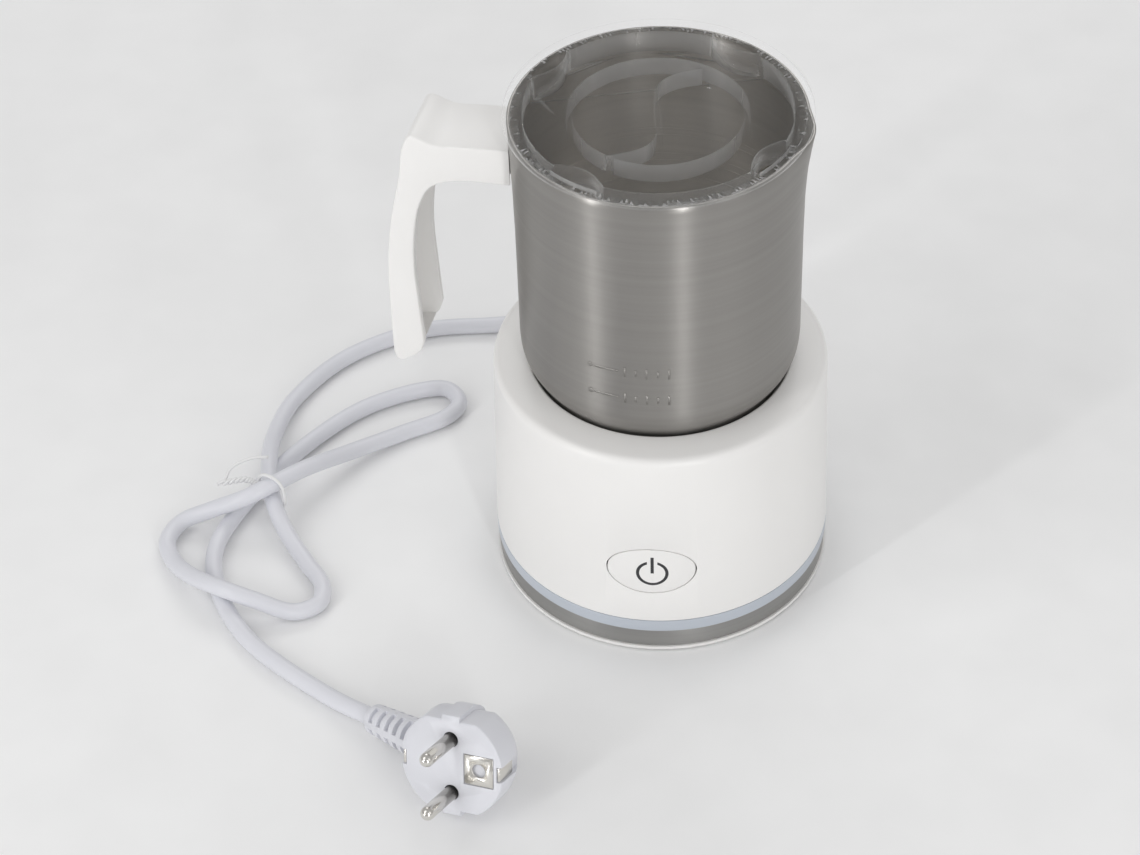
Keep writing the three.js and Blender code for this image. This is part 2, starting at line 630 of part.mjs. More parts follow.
function cordClamp() {
  const bottom = LEAD_HEIGHT + LEAD_DIAMETER / 2 + GAP;
  const bar = block(24, 7, 3, 0, CLAMP_Y, bottom + 1.5);
  const legs = [-1, 1].map((side) => {
    const saddleTop = LEAD_HEIGHT - LEAD_DIAMETER / 2 - GAP;
    const height = bottom - saddleTop - GAP + OVERLAP;
    return block(6, 7, height, side * 9, CLAMP_Y, saddleTop + GAP + height / 2);
  });
  const holes = [-CLAMP_SCREW_X, CLAMP_SCREW_X].map((x) =>
    disc(SCREW_SHANK + GAP, 0, bottom + 5, 12).translate(x, CLAMP_Y, 0));
  return cut(joined(bar, ...legs), ...holes);
}

function clampScrew(side) {
  const top = LEAD_HEIGHT + LEAD_DIAMETER / 2 + GAP + 3 + GAP;
  const body = screw(SCREW_HEAD, 1.8, SCREW_SHANK, 16).rotate([180, 0, 0]);
  return body.translate(side * CLAMP_SCREW_X, CLAMP_Y, top + 1.8);
}

// The plug's own frame: X along the line of the pins, Y towards the lead, Z along the pins.
function plugFrame() {
  const z = PLUG_PINS_TOWARD.clone().normalize();
  const y = z.clone().cross(PLUG_TOP_TOWARD).normalize();
  const x = y.clone().cross(z);
  const frame = new THREE.Matrix4().makeBasis(x, y, z);
  return frame.setPosition(PLUG_POSITION);
}

const BOOT_START = new THREE.Vector3(0, 6, -8.6);
const bootDirection = new THREE.Vector3(0, Math.cos(degrees(BOOT_ANGLE)), -Math.sin(degrees(BOOT_ANGLE)));

function leadRoute() {
  const frame = plugFrame();
  const tip = BOOT_START.clone().addScaledVector(bootDirection, BOOT_LENGTH + GAP);
  const before = tip.clone().addScaledVector(bootDirection, 3);
  const ends = [before, tip].map((point) => point.applyMatrix4(frame));
  return [...LEAD_ROUTE.map(([x, y, z]) => new THREE.Vector3(x, y, z)), ...ends];
}

function powerCord() {
  return tube(leadRoute(), LEAD_DIAMETER / 2, LEAD_STEPS, LEAD_SIDES);
}

function cordTie() {
  const loop = new THREE.TorusGeometry(1, 1, 8, 20);
  const positions = loop.attributes.position;
  const turn = (2 * Math.PI) / 20;
  for (let i = 0; i < positions.count; i++) {
    const round = Math.floor(i % 21) * turn;
    const across = Math.floor(i / 21) * ((2 * Math.PI) / 8);
    const reach = TIE_WIRE * Math.cos(across);
    positions.setXYZ(i,
      (TIE_HALF_WIDTH + reach) * Math.cos(round),
      (TIE_HALF_HEIGHT + reach) * Math.sin(round),
      TIE_WIRE * Math.sin(across));
  }
  const band = solid(loop.rotateX(Math.PI / 2).rotateZ(degrees(TIE_HEADING + 90)));
  const twist = tube(TIE_TWIST.map(([x, y, z]) => new THREE.Vector3(x, y, z)), TIE_TWIST_RADIUS, 6, 8);
  return joined(band, twist).translate(TIE_CENTRE.x, TIE_CENTRE.y, TIE_CENTRE.z);
}

// ---- Plug --------------------------------------------------------------------------------------

function plugOutline(grow = 0) {
  const radius = PLUG_RADIUS + grow;
  const flat = PLUG_FLAT + grow;
  const reach = PLUG_RAIL_REACH + grow;
  const half = PLUG_RAIL_WIDTH / 2;
  const start = Math.acos(flat / radius);
  const side = [0, 1, 2, 3, 4, 5, 6].map((i) => {
    const angle = start + (Math.PI - 2 * start) * (i / 6);
    return [radius * Math.cos(angle), radius * Math.sin(angle)];
  });
  const rail = [[-flat, half], [-reach, half], [-reach, -half], [-flat, -half]];
  const turnedHalf = (points) => points.map(([x, y]) => [-x, -y]);
  return outline([...side, ...rail, ...turnedHalf(side), ...turnedHalf(rail)]);
}

const EARTH_SLOT = 5.4;
const EARTH_DEPTH = 2.2;
const EARTH_THICKNESS = 1;
const EARTH_PLATE = 11;
const EARTH_HOLE = 2.4;
const EARTH_HOLE_Y = -10;

function plugBody() {
  const front = raised(plugOutline(), -PLUG_DEPTH, 0);
  const back = raised(plugOutline(-1.8), -PLUG_DEPTH - PLUG_BACK_DEPTH / 2, -PLUG_DEPTH + OVERLAP);
  const capEnd = -PLUG_DEPTH - PLUG_BACK_DEPTH;
  const cap = raised(plugOutline(-4.4), capEnd, capEnd + PLUG_BACK_DEPTH / 2 + OVERLAP);
  const profile = [];
  const slots = 5;
  for (let i = 0; i <= 2; i++) {
    profile.push([THREE.MathUtils.lerp(BOOT_ROOT, BOOT_TIP, i / 2), (BOOT_LENGTH * i) / 2]);
  }
  const boot = turned([[0, 0], ...profile, [0, BOOT_LENGTH]], 12);
  const slotCuts = Array.from({ length: slots }, (_, i) => {
    const along = BOOT_LENGTH - 5 - i * 4.4;
    return ring(4.4, 12, along, along + 1.9, 12);
  });
  const keel = [0, 90, 180, 270].map((angle) =>
    block(9, 3.4, BOOT_LENGTH - 3, 3, 0, (BOOT_LENGTH - 3) / 2).rotate([0, 0, angle + 45]));
  const grooved = cut(boot, ...slotCuts);
  const bootWhole = joined(grooved, boot.intersect(joined(...keel)));
  const placed = bootWhole.rotate([-90 - BOOT_ANGLE, 0, 0])
    .translate(BOOT_START.x, BOOT_START.y, BOOT_START.z);
  const slotY = PLUG_RADIUS - EARTH_DEPTH;
  const earthSlots = [-1, 1].map((side) =>
    block(EARTH_SLOT, 12, PLUG_DEPTH * 2, 0, side * (slotY + 6), 1));
  const pinHoles = [-1, 1].map((side) =>
    disc(PIN_RADIUS + GAP, -6, 1, 16).translate(side * (PIN_SPACING / 2), 0, 0));
  const faceplate = block(EARTH_PLATE, EARTH_PLATE, 3, 0, EARTH_HOLE_Y, 0);
  const body = joined(front, back, cap);
  const keepClear = boot.rotate([-90 - BOOT_ANGLE, 0, 0])
    .translate(BOOT_START.x, BOOT_START.y, BOOT_START.z);
  const slotted = cut(body, ...earthSlots.map((slot) => slot.subtract(keepClear)));
  return cut(joined(slotted, placed), ...pinHoles, faceplate);
}

function plugPin(side) {
  const tip = [0, 30, 60, 90].map((angle) => [
    PIN_RADIUS * Math.cos(degrees(angle)),
    PIN_LENGTH - PIN_RADIUS + PIN_RADIUS * Math.sin(degrees(angle)),
  ]);
  return turned([[0, -5], [PIN_RADIUS, -5], ...tip], 16).translate(side * (PIN_SPACING / 2), 0, 0);
}

function earthPlate() {
  const size = EARTH_PLATE - 2 * GAP;
  const plate = block(size, size, EARTH_THICKNESS, 0, EARTH_HOLE_Y, -0.6);
  return cut(plate, disc(EARTH_HOLE, -3, 1, 16).translate(0, EARTH_HOLE_Y, 0));
}

function earthClip(side) {
  const y = side * (PLUG_RADIUS - EARTH_DEPTH + GAP + EARTH_THICKNESS / 2);
  const length = side > 0 ? 3.6 : PLUG_DEPTH - 2;
  return block(EARTH_SLOT - 2 * GAP, EARTH_THICKNESS, length, 0, y, -length / 2 - 0.4);
}

// ---- Jug ---------------------------------------------------------------------------------------

// The jug's wall outside, from the edge of its floor up to its rim.
function jugOuter() {
  const floor = JUG_BOTTOM;
  return [
    [JUG_FLOOR_RADIUS, floor], [JUG_HEEL_RADIUS - 3.4, floor + 0.9], [JUG_HEEL_RADIUS - 1, floor + 3],
    [JUG_HEEL_RADIUS, floor + 6], [JUG_HEEL_RADIUS + 1.5, floor + 9.2], [JUG_HEEL_RADIUS + 3.2, floor + 12.2],
    [JUG_HEEL_RADIUS + 4.3, floor + 15.1], [JUG_RADIUS, floor + SHOULDER_HEIGHT + 2],
    [JUG_RADIUS, JUG_TOP - 45], [JUG_RADIUS + 0.2, JUG_TOP - SPOUT_DEPTH], [JUG_RADIUS + 0.5, JUG_TOP - 15],
    [JUG_RADIUS + RIM_FLARE, JUG_TOP],
  ];
}

function jugBody() {
  const outer = jugOuter();
  const inner = outer.slice(1).map(([radius, height]) => [radius - JUG_WALL, Math.max(height, JUG_FLOOR)]);
  inner[inner.length - 1][1] = JUG_TOP;
  const profile = [
    [0, JUG_BOTTOM], ...outer, ...inner.reverse(), [JUG_FLOOR_RADIUS, JUG_FLOOR], [0, JUG_FLOOR]];
  const points = profile.map(([radius, height]) => new THREE.Vector2(radius, height));
  const geometry = new THREE.LatheGeometry(points, 40).rotateX(Math.PI / 2);
  const positions = geometry.attributes.position;
  const point = new THREE.Vector3();
  for (let i = 0; i < positions.count; i++) {
    point.fromBufferAttribute(positions, i);
    const radius = Math.hypot(point.x, point.y);
    const turnedBy = Math.atan2(point.y, point.x) - degrees(SPOUT_ANGLE);
    const off = Math.abs(Math.atan2(Math.sin(turnedBy), Math.cos(turnedBy))) / degrees(SPOUT_HALF_ANGLE);
    const rise = (point.z - (JUG_TOP - SPOUT_DEPTH)) / SPOUT_DEPTH;
    if (off >= 1 || rise <= 0) continue;
    const push = SPOUT_REACH * rise ** 1.6 * Math.cos((off * Math.PI) / 2) ** 2;
    positions.setX(i, point.x * (1 + push / radius));
    positions.setY(i, point.y * (1 + push / radius));
  }
  return solid(geometry);
}

// ---- Handle ------------------------------------------------------------------------------------

// Outer edge of the handle from the jug over the thumb rest and down the back of the grip.
function handleBack(inset) {
  const path = new THREE.SplineCurve([
    [JUG_RADIUS - 6, ARM_TOP + 0.4 - inset], [GRIP_OUT - 30.3, ARM_TOP - 0.9 - inset],
    [GRIP_OUT - 20.3, ARM_TOP - 1.6 - inset], [GRIP_OUT - 11.8 - inset * 0.6, ARM_TOP + 0.7 - inset * 1.6],
    [GRIP_OUT - 8.9 - inset, ARM_TOP - 4.5 - inset * 0.5], [GRIP_OUT - 6.9 - inset, ARM_TOP - 17],
    [GRIP_OUT - 2.7 - inset, ARM_TOP - 37], [GRIP_OUT - 0.5 - inset, ARM_TOP - 56],
    [GRIP_OUT - inset, ARM_TOP - 77], [GRIP_OUT - inset, GRIP_BOTTOM + 4],
  ].map(([x, z]) => new THREE.Vector2(x, z)));
  return path.getPoints(13).map((point) => [point.x, point.y]);
}

// Inner edge of the side walls, from the foot of the grip up and along the arm.
function handleFront() {
  const path = new THREE.SplineCurve([
    [GRIP_OUT - GRIP_THICKNESS - 1, GRIP_BOTTOM + 10], [GRIP_OUT - GRIP_THICKNESS - 0.2, ARM_TOP - 71],
    [GRIP_OUT - GRIP_THICKNESS + 0.4, ARM_TOP - 54], [GRIP_OUT - 11.1, ARM_TOP - 40],
    [GRIP_OUT - 13.5, ARM_TOP - 28], [GRIP_OUT - 17.9, ARM_TOP - 19.6],
    [GRIP_OUT - 25.3, ARM_TOP - ARM_DEPTH - 1.4],
    [JUG_RADIUS - 6, ARM_TOP - ARM_DEPTH + 0.6],
  ].map(([x, z]) => new THREE.Vector2(x, z)));
  return path.getPoints(13).map((point) => [point.x, point.y]);
}

const BRACKET_Z = ARM_TOP - ARM_DEPTH + 5;
const TONGUE_LENGTH = 16;
const TONGUE_THICKNESS = 1.4;
const HANDLE_SCREW_U = JUG_RADIUS + 12.4;

function handleBody() {
  const foot = [[GRIP_OUT - 0.8, GRIP_BOTTOM + 0.6], [GRIP_OUT - 3, GRIP_BOTTOM],
    [GRIP_OUT - 7.8, GRIP_BOTTOM + 3.2], [GRIP_OUT - 10.3, GRIP_BOTTOM + 6]];
  const outerShape = outline([...handleBack(0), ...foot, ...handleFront()]);
  const hollowFoot = [[GRIP_OUT - HANDLE_WALL, GRIP_BOTTOM + HANDLE_WALL + 1],
    [GRIP_OUT - 22.3, GRIP_BOTTOM + HANDLE_WALL + 4.5], [GRIP_OUT - 22.3, ARM_TOP - 54],
    [GRIP_OUT - 32.3, ARM_TOP - 34], [JUG_RADIUS - 6, ARM_TOP - 24]];
  const hollowShape = outline([...handleBack(HANDLE_WALL), ...hollowFoot]);
  const whole = spread(outerShape, HANDLE_WIDTH);
  const hollow = spread(hollowShape, HANDLE_WIDTH - 2 * HANDLE_WALL);
  const boss = disc(3.4, BRACKET_Z + TONGUE_THICKNESS + GAP, ARM_TOP - 2, 16).translate(HANDLE_SCREW_U, 0, 0);
  const pilot = disc(SCREW_SHANK + GAP / 2, BRACKET_Z, ARM_TOP - 5, 12).translate(HANDLE_SCREW_U, 0, 0);
  const jugSpace = disc(JUG_RADIUS + 0.5 + GAP, GRIP_BOTTOM, JUG_TOP, 56);
  return cut(joined(cut(whole, hollow), boss), pilot, jugSpace).rotate([0, 0, HANDLE_ANGLE]);
}

function handleBracket() {
  const face = JUG_RADIUS + 0.5 + GAP;
  const pad = ring(face, face + TONGUE_THICKNESS, BRACKET_Z - 3, BRACKET_Z + 5, 56);
  const slice = pad.intersect(block(20, 16, 30, face, 0, BRACKET_Z));
  const tongue = block(TONGUE_LENGTH + 1, 12, TONGUE_THICKNESS, face + TONGUE_LENGTH / 2 + 0.5, 0,
    BRACKET_Z + TONGUE_THICKNESS / 2);
  const jugSpace = disc(face, GRIP_BOTTOM, JUG_TOP, 56);
  const hole = disc(SCREW_SHANK + GAP, BRACKET_Z - 2, BRACKET_Z + 4, 12).translate(HANDLE_SCREW_U, 0, 0);
  return cut(joined(slice, tongue), jugSpace, hole).rotate([0, 0, HANDLE_ANGLE]);
}

function handleScrew() {
  const head = BRACKET_Z - GAP - 1.8;
  return screw(SCREW_HEAD, 1.8, SCREW_SHANK, 6)
    .translate(HANDLE_SCREW_U, 0, head)
    .rotate([0, 0, HANDLE_ANGLE]);
}

// ---- Whisk -------------------------------------------------------------------------------------

const HUB_BOTTOM = JUG_FLOOR + 0.8;

function whiskPost() {
  const bottom = JUG_FLOOR + GAP;
  const base = [[0, bottom], [4, bottom], [4, bottom + 0.4], [POST_RADIUS, bottom + 0.4]];
  const tip = bottom + POST_HEIGHT;
  const top = [[POST_RADIUS, tip - 1.2], [0.6, tip], [0, tip]];
  return turned([...base, ...top], 20);
}

function whiskHub() {
  const hub = ring(POST_RADIUS + RUNNING_CLEARANCE, WHISK_HUB_RADIUS, HUB_BOTTOM + 1,
    HUB_BOTTOM + WHISK_HUB_HEIGHT, 32);
  const neck = ring(POST_RADIUS + RUNNING_CLEARANCE, 4.2, HUB_BOTTOM + WHISK_HUB_HEIGHT - OVERLAP,
    HUB_BOTTOM + WHISK_HUB_HEIGHT + 6, 20);
  const pockets = [-1, 1].map((side) =>
    disc(2.4 + GAP, HUB_BOTTOM, HUB_BOTTOM + 1 + WHISK_MAGNET_THICKNESS + GAP, 16)
      .translate(side * WHISK_MAGNET_OFFSET, 0, 0));
  return cut(joined(hub, neck), ...pockets);
}

const WHISK_MAGNET_THICKNESS = 2.4;
const WHISK_MAGNET_OFFSET = 5.6;

function whiskMagnet(side) {
  const bottom = HUB_BOTTOM + 1;
  return disc(2.4, bottom, bottom + WHISK_MAGNET_THICKNESS, 16).translate(side * WHISK_MAGNET_OFFSET, 0, 0);
}

function whiskRing() {
  const height = HUB_BOTTOM + WHISK_HUB_HEIGHT + 2.4;
  const hoop = solid(new THREE.TorusGeometry(WHISK_RING_RADIUS, WHISK_WIRE, 6, 24).translate(0, 0, height));
  const collar = ring(4.2 + GAP, 5.6, height - 1.2, height + 1.2, 20);
  const spokes = [0, 120, 240].map((angle) =>
    block(WHISK_RING_RADIUS - 5, 1.6, 1.6, (WHISK_RING_RADIUS + 5) / 2, 0, height).rotate([0, 0, angle]));
  return joined(hoop, collar, ...spokes);
}

// ---- Lid ---------------------------------------------------------------------------------------

// Radius of the skirt at an angle from the first rim tab: four scallops, midway between the tabs.
function skirtRadius(angle, inset) {
  const fromNotch = Math.abs((((angle - 45) % 90) + 135) % 90 - 45) / NOTCH_HALF_ANGLE;
  const dip = fromNotch < 1 ? NOTCH_DEPTH * Math.cos((fromNotch * Math.PI) / 2) ** 0.8 : 0;
  return SKIRT_RADIUS - dip - inset;
}

function skirtOutline(inset) {
  const angles = [];
  for (let quarter = 0; quarter < 360; quarter += 90) {
    for (const offset of [0, 16, 32, 35, 40, 45, 50, 55, 58, 74]) angles.push(quarter + offset);
  }
  return outline(angles.map((angle) => around(skirtRadius(angle, inset), angle)));
}

function slotOutline(middle) {
  const inner = [-12.6, -10, -5, 0, 5, 10, 12.6].map((offset) =>
    around(skirtRadius(middle + offset, 0), middle + offset));
  const rimEdge = LID_RADIUS - LID_RIM_BAND;
  const outer = [12.6, 6, 0, -6, -12.6].map((offset) => around(rimEdge, middle + offset));
  return outline([...inner, ...outer]);
}

function lidBody() {
  const rim = disc(LID_RADIUS, FLANGE_BOTTOM, FLANGE_TOP, 56);
  const well = raised(skirtOutline(SKIRT_WALL), FLANGE_BOTTOM - 1, FLANGE_TOP + 1);
  const slots = [45, 135, 225, 315].map((middle) =>
    raised(slotOutline(middle), FLANGE_BOTTOM - 1, FLANGE_TOP + 1));
  const skirtShape = skirtOutline(0);
  const skirt = cut(raised(skirtShape, LID_FLOOR - LID_THICKNESS, FLANGE_TOP - OVERLAP),
    raised(skirtOutline(SKIRT_WALL), LID_FLOOR, FLANGE_TOP + 1));
  const gripTop = LID_FLOOR + GRIP_RING_HEIGHT;
  const grip = ring(GRIP_RING_RADIUS - GRIP_RING_WALL, GRIP_RING_RADIUS, LID_FLOOR - OVERLAP, gripTop, 32);
  const tabs = [0, 90, 180, 270].map((angle) =>
    block(3.4, 1.4, TAB_HEIGHT + OVERLAP, LID_RADIUS - 2.3, 0, FLANGE_TOP + (TAB_HEIGHT - OVERLAP) / 2)
      .rotate([0, 0, angle]));
  const whole = joined(cut(rim, well, ...slots), skirt, grip, divider(gripTop), ...tabs);
  return whole.rotate([0, 0, LID_ANGLE]);
}

// The wave-shaped wall that parts the round store into two halves.
function divider(top) {
  const reach = GRIP_RING_RADIUS - GRIP_RING_WALL / 2;
  const count = 14;
  const edge = (side) => Array.from({ length: count + 1 }, (_, i) => {
    const along = -reach + (2 * reach * i) / count;
    const sway = DIVIDER_SWAY * Math.sin((Math.PI * along) / reach);
    const slope = ((DIVIDER_SWAY * Math.PI) / reach) * Math.cos((Math.PI * along) / reach);
    const length = Math.hypot(1, slope);
    const half = (side * GRIP_RING_WALL) / 2;
    return [along - (half * slope) / length, sway + half / length];
  });
  const band = outline([...edge(-1), ...edge(1).reverse()]);
  return raised(band, LID_FLOOR - OVERLAP, top - GAP).rotate([0, 0, 45]);
}

// ---- Assembly ----------------------------------------------------------------------------------

const frother = new THREE.Group();
const add = (parent, name, body, material) => parent.add(mesh(name, body, material));

const base = new THREE.Group();
add(base, 'bottom_cover', bottomCover(), whitePlastic);
add(base, 'trim_ring', ring(BAND_INNER, BASE_RADIUS - TRIM_SETBACK, TRIM_BOTTOM, TRIM_TOP, 56), satinMetal);
add(base, 'light_ring', ring(BAND_INNER, BASE_RADIUS, LIGHT_BOTTOM, LIGHT_TOP, 56), lightPlastic);
add(base, 'base_shell', baseShell(), whitePlastic);
add(base, 'seat_plate', seatPlate(), innerPlastic);
FOOT_ANGLES.forEach((angle, i) => {
  const [x, y] = around(FOOT_CIRCLE, angle);
  const foot = disc(FOOT_RADIUS, 0, FOOT_GAP + FOOT_POCKET - GAP, 14).translate(x, y, 0);
  add(base, `foot_${i + 1}`, foot, rubber);
});
SCREW_ANGLES.forEach((angle, i) => {
  const [x, y] = around(SCREW_CIRCLE, angle);
  const body = screw(SCREW_HEAD, 1.8, SCREW_SHANK, 22).translate(x, y, FOOT_GAP + 0.4);
  add(base, `cover_screw_${i + 1}`, body, satinMetal);
});
frother.add(base);

const heater = new THREE.Group();
add(heater, 'induction_coil', ring(COIL_INNER, COIL_OUTER, COIL_BOTTOM, COIL_TOP, 32), copper);
add(heater, 'coil_carrier', coilCarrier(), innerPlastic);
[0, 90, 180, 270].forEach((angle, i) => add(heater, `ferrite_bar_${i + 1}`, ferriteBar(angle), ferrite));
add(heater, 'temperature_sensor', temperatureSensor(), darkPlastic);
frother.add(heater);

const drive = new THREE.Group();
add(drive, 'motor_bracket', motorBracket(), satinMetal);
add(drive, 'motor_can', motorCan(), satinMetal);
add(drive, 'motor_cap', motorCap(), darkPlastic);
BRACKET_ANGLES.forEach((angle, i) => {
  const [x, y] = around(BRACKET_POST_CIRCLE, angle);
  const bottom = BRACKET_TOP - BRACKET_THICKNESS - GAP - 1.8;
  const motorScrew = screw(SCREW_HEAD, 1.8, SCREW_SHANK, 7).translate(x, y, bottom);
  add(drive, `motor_screw_${i + 1}`, motorScrew, satinMetal);
});
add(drive, 'motor_shaft', motorShaft(), nickel);
add(drive, 'drive_hub', driveHub(), innerPlastic);
add(drive, 'drive_magnet_1', driveMagnet(-1), magnetMetal);
add(drive, 'drive_magnet_2', driveMagnet(1), magnetMetal);
frother.add(drive);

const electronics = new THREE.Group();
add(electronics, 'circuit_board', circuitBoard(), boardGreen);
add(electronics, 'capacitor', capacitor(), darkPlastic);
add(electronics, 'choke', choke(), copper);
add(electronics, 'heat_sink', heatSink(), aluminium);
add(electronics, 'terminal_block', terminalBlock(), innerPlastic);
add(electronics, 'switch_board', switchBoard(), boardGreen);
add(electronics, 'switch_body', switchBody(), darkPlastic);
add(electronics, 'switch_plunger', switchPlunger(), whitePlastic);
add(electronics, 'power_button', powerButton(), whitePlastic);
frother.add(electronics);

const lead = new THREE.Group();
add(lead, 'strain_relief', strainRelief(), leadPlastic);
add(lead, 'inner_lead', innerLead(), leadPlastic);
add(lead, 'cord_clamp', cordClamp(), innerPlastic);
add(lead, 'clamp_screw_1', clampScrew(-1), satinMetal);
add(lead, 'clamp_screw_2', clampScrew(1), satinMetal);
add(lead, 'power_cord', powerCord(), leadPlastic);
add(lead, 'cord_tie', cordTie(), tiePlastic);
frother.add(lead);

const plug = new THREE.Group();
add(plug, 'plug_body', plugBody(), leadPlastic);
add(plug, 'plug_pin_1', plugPin(-1), nickel);
add(plug, 'plug_pin_2', plugPin(1), nickel);
add(plug, 'earth_plate', earthPlate(), nickel);
add(plug, 'earth_clip_1', earthClip(-1), nickel);
add(plug, 'earth_clip_2', earthClip(1), nickel);
plug.applyMatrix4(plugFrame());
frother.add(plug);

const jug = new THREE.Group();
add(jug, 'jug_body', jugBody(), jugSteel);
add(jug, 'handle_bracket', handleBracket(), satinMetal);
add(jug, 'handle', handleBody(), whitePlastic);
add(jug, 'handle_screw', handleScrew(), satinMetal);
add(jug, 'whisk_post', whiskPost(), nickel);
frother.add(jug);

const whisk = new THREE.Group();
add(whisk, 'whisk_hub', whiskHub(), innerPlastic);
add(whisk, 'whisk_ring', whiskRing(), nickel);
add(whisk, 'whisk_magnet_1', whiskMagnet(-1), magnetMetal);
add(whisk, 'whisk_magnet_2', whiskMagnet(1), magnetMetal);
frother.add(whisk);

const lid = new THREE.Group();
add(lid, 'lid', lidBody(), clearPlastic);
frother.add(lid);

export default frother;
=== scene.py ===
import math
import bmesh
import bpy
from mathutils import Matrix, Vector


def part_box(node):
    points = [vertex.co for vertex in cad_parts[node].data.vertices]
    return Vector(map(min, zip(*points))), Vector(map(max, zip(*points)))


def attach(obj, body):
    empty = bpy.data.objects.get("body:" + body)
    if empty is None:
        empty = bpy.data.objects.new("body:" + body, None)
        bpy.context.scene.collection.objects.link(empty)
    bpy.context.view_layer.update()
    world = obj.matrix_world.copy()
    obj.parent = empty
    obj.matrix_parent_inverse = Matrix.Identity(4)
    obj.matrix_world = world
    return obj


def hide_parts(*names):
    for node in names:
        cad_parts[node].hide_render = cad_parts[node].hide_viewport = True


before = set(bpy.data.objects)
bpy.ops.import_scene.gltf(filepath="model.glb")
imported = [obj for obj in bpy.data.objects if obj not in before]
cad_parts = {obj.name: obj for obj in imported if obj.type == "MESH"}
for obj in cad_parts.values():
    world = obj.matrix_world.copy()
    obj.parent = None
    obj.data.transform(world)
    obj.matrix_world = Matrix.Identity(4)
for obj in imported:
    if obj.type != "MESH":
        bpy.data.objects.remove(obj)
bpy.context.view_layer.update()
MM = 0.001


def node_box(name):
    low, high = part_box(name)
    return Vector(low), Vector(high)


# ---- Camera, light and floor ---------------------------------------------------------------------

def add_camera():
    turn, pitch, roll = math.radians(6), math.radians(42.679), math.radians(-2.096)
    ahead = Vector((-math.sin(turn), math.cos(turn), 0))
    look = ahead * math.cos(pitch) - Vector((0, 0, math.sin(pitch)))
    right = look.cross(Vector((0, 0, 1))).normalized()
    up = right.cross(look)
    right_rolled = right * math.cos(roll) + up * math.sin(roll)
    up_rolled = up * math.cos(roll) - right * math.sin(roll)
    data = bpy.data.cameras.new("camera")
    data.lens = 93.22
    data.sensor_width = 36
    data.clip_start = 0.05
    data.clip_end = 20
    camera = bpy.data.objects.new("camera", data)
    bpy.context.scene.collection.objects.link(camera)
    turned = Matrix((right_rolled, up_rolled, -look)).transposed()
    camera.matrix_world = Matrix.Translation((0.04786, -0.76004, 0.75456)) @ turned.to_4x4()
    bpy.context.scene.camera = camera


def add_softbox(name, place, target, width, height, power, colour=(1, 1, 1)):
    data = bpy.data.lights.new(name, "AREA")
    data.shape = "RECTANGLE"
    data.size = width
    data.size_y = height
    data.energy = power
    data.color = colour
    lamp = bpy.data.objects.new(name, data)
    bpy.context.scene.collection.objects.link(lamp)
    lamp.location = place
    lamp.rotation_mode = "QUATERNION"
    lamp.rotation_quaternion = (Vector(target) - Vector(place)).to_track_quat("-Z", "Y")


def add_surroundings():
    bpy.context.scene.view_settings.view_transform = "Standard"
    world = bpy.data.worlds.new("studio")
    bpy.context.scene.world = world
    world.use_nodes = True
    background = world.node_tree.nodes["Background"]
    background.inputs["Color"].default_value = (1, 1, 1, 1)
    background.inputs["Strength"].default_value = WORLD_LIGHT
    add_softbox("key_light", (-0.9, -0.5, 1.3), (0, 0, 0.08), 0.7, 0.9, KEY_POWER)
    add_softbox("fill_light", (1.0, -0.7, 0.9), (0, 0, 0.1), 0.5, 1.0, FILL_POWER)
    add_softbox("back_light", (0.1, 1.1, 1.2), (0, 0, 0.05), 1.4, 0.6, BACK_POWER)
    for name, angle, width in (("strip_light_left", -132.8, 0.035), ("strip_light_right", -70.6, 0.07)):
        x, y = STRIP_REACH * math.cos(math.radians(angle)), STRIP_REACH * math.sin(math.radians(angle))
        add_softbox(name, (x, y, 0.42), (0, 0, 0.12), width, 0.8, STRIP_POWER)
    mesh = bpy.data.meshes.new("floor")
    reach = 6
    mesh.from_pydata([(-reach, -reach, 0), (reach, -reach, 0), (reach, reach, 0), (-reach, reach, 0)],
                     [], [(0, 1, 2, 3)])
    floor = bpy.data.objects.new("floor", mesh)
    bpy.context.scene.collection.objects.link(floor)
    floor.location.z = -0.00005
    mesh.materials.append(plain_material("floor_white", (0.93, 0.93, 0.93), 0.7))


WORLD_LIGHT = 0.5
KEY_POWER = 3
FILL_POWER = 1.5
BACK_POWER = 5
STRIP_POWER = 2.4
STRIP_REACH = 1.1


# ---- Materials -----------------------------------------------------------------------------------

def group_tree(name, inputs, outputs):
    tree = bpy.data.node_groups.new(name, "ShaderNodeTree")
    for label, value in inputs:
        socket = tree.interface.new_socket(label, in_out="INPUT", socket_type="NodeSocketFloat")
        socket.default_value = value
    for label in outputs:
        tree.interface.new_socket(label, in_out="OUTPUT", socket_type="NodeSocketFloat")
    start = tree.nodes.new("NodeGroupInput")
    end = tree.nodes.new("NodeGroupOutput")
    return tree, start, end


def math_node(tree, operation, first, second=None):
    node = tree.nodes.new("ShaderNodeMath")
    node.operation = operation
    for index, value in enumerate((first, second)):
        if value is None:
            continue
        if isinstance(value, (int, float)):
            node.inputs[index].default_value = value
        else:
            tree.links.new(value, node.inputs[index])
    return node.outputs[0]


def make_grain_group():
    """Fine moulded texture: a soft mask and a height."""
    sizes = [("Scale", 900.0), ("Patch Scale", 30.0)]
    tree, start, end = group_tree("moulded_grain", sizes, ["Height", "Patches"])
    place = tree.nodes.new("ShaderNodeTexCoord")
    for socket, out, detail in (("Scale", "Height", 3), ("Patch Scale", "Patches", 2)):
        noise = tree.nodes.new("ShaderNodeTexNoise")
        noise.inputs["Detail"].default_value = detail
        tree.links.new(place.outputs["Object"], noise.inputs["Vector"])
        tree.links.new(start.outputs[socket], noise.inputs["Scale"])
        tree.links.new(noise.outputs[0], end.inputs[out])
    return tree


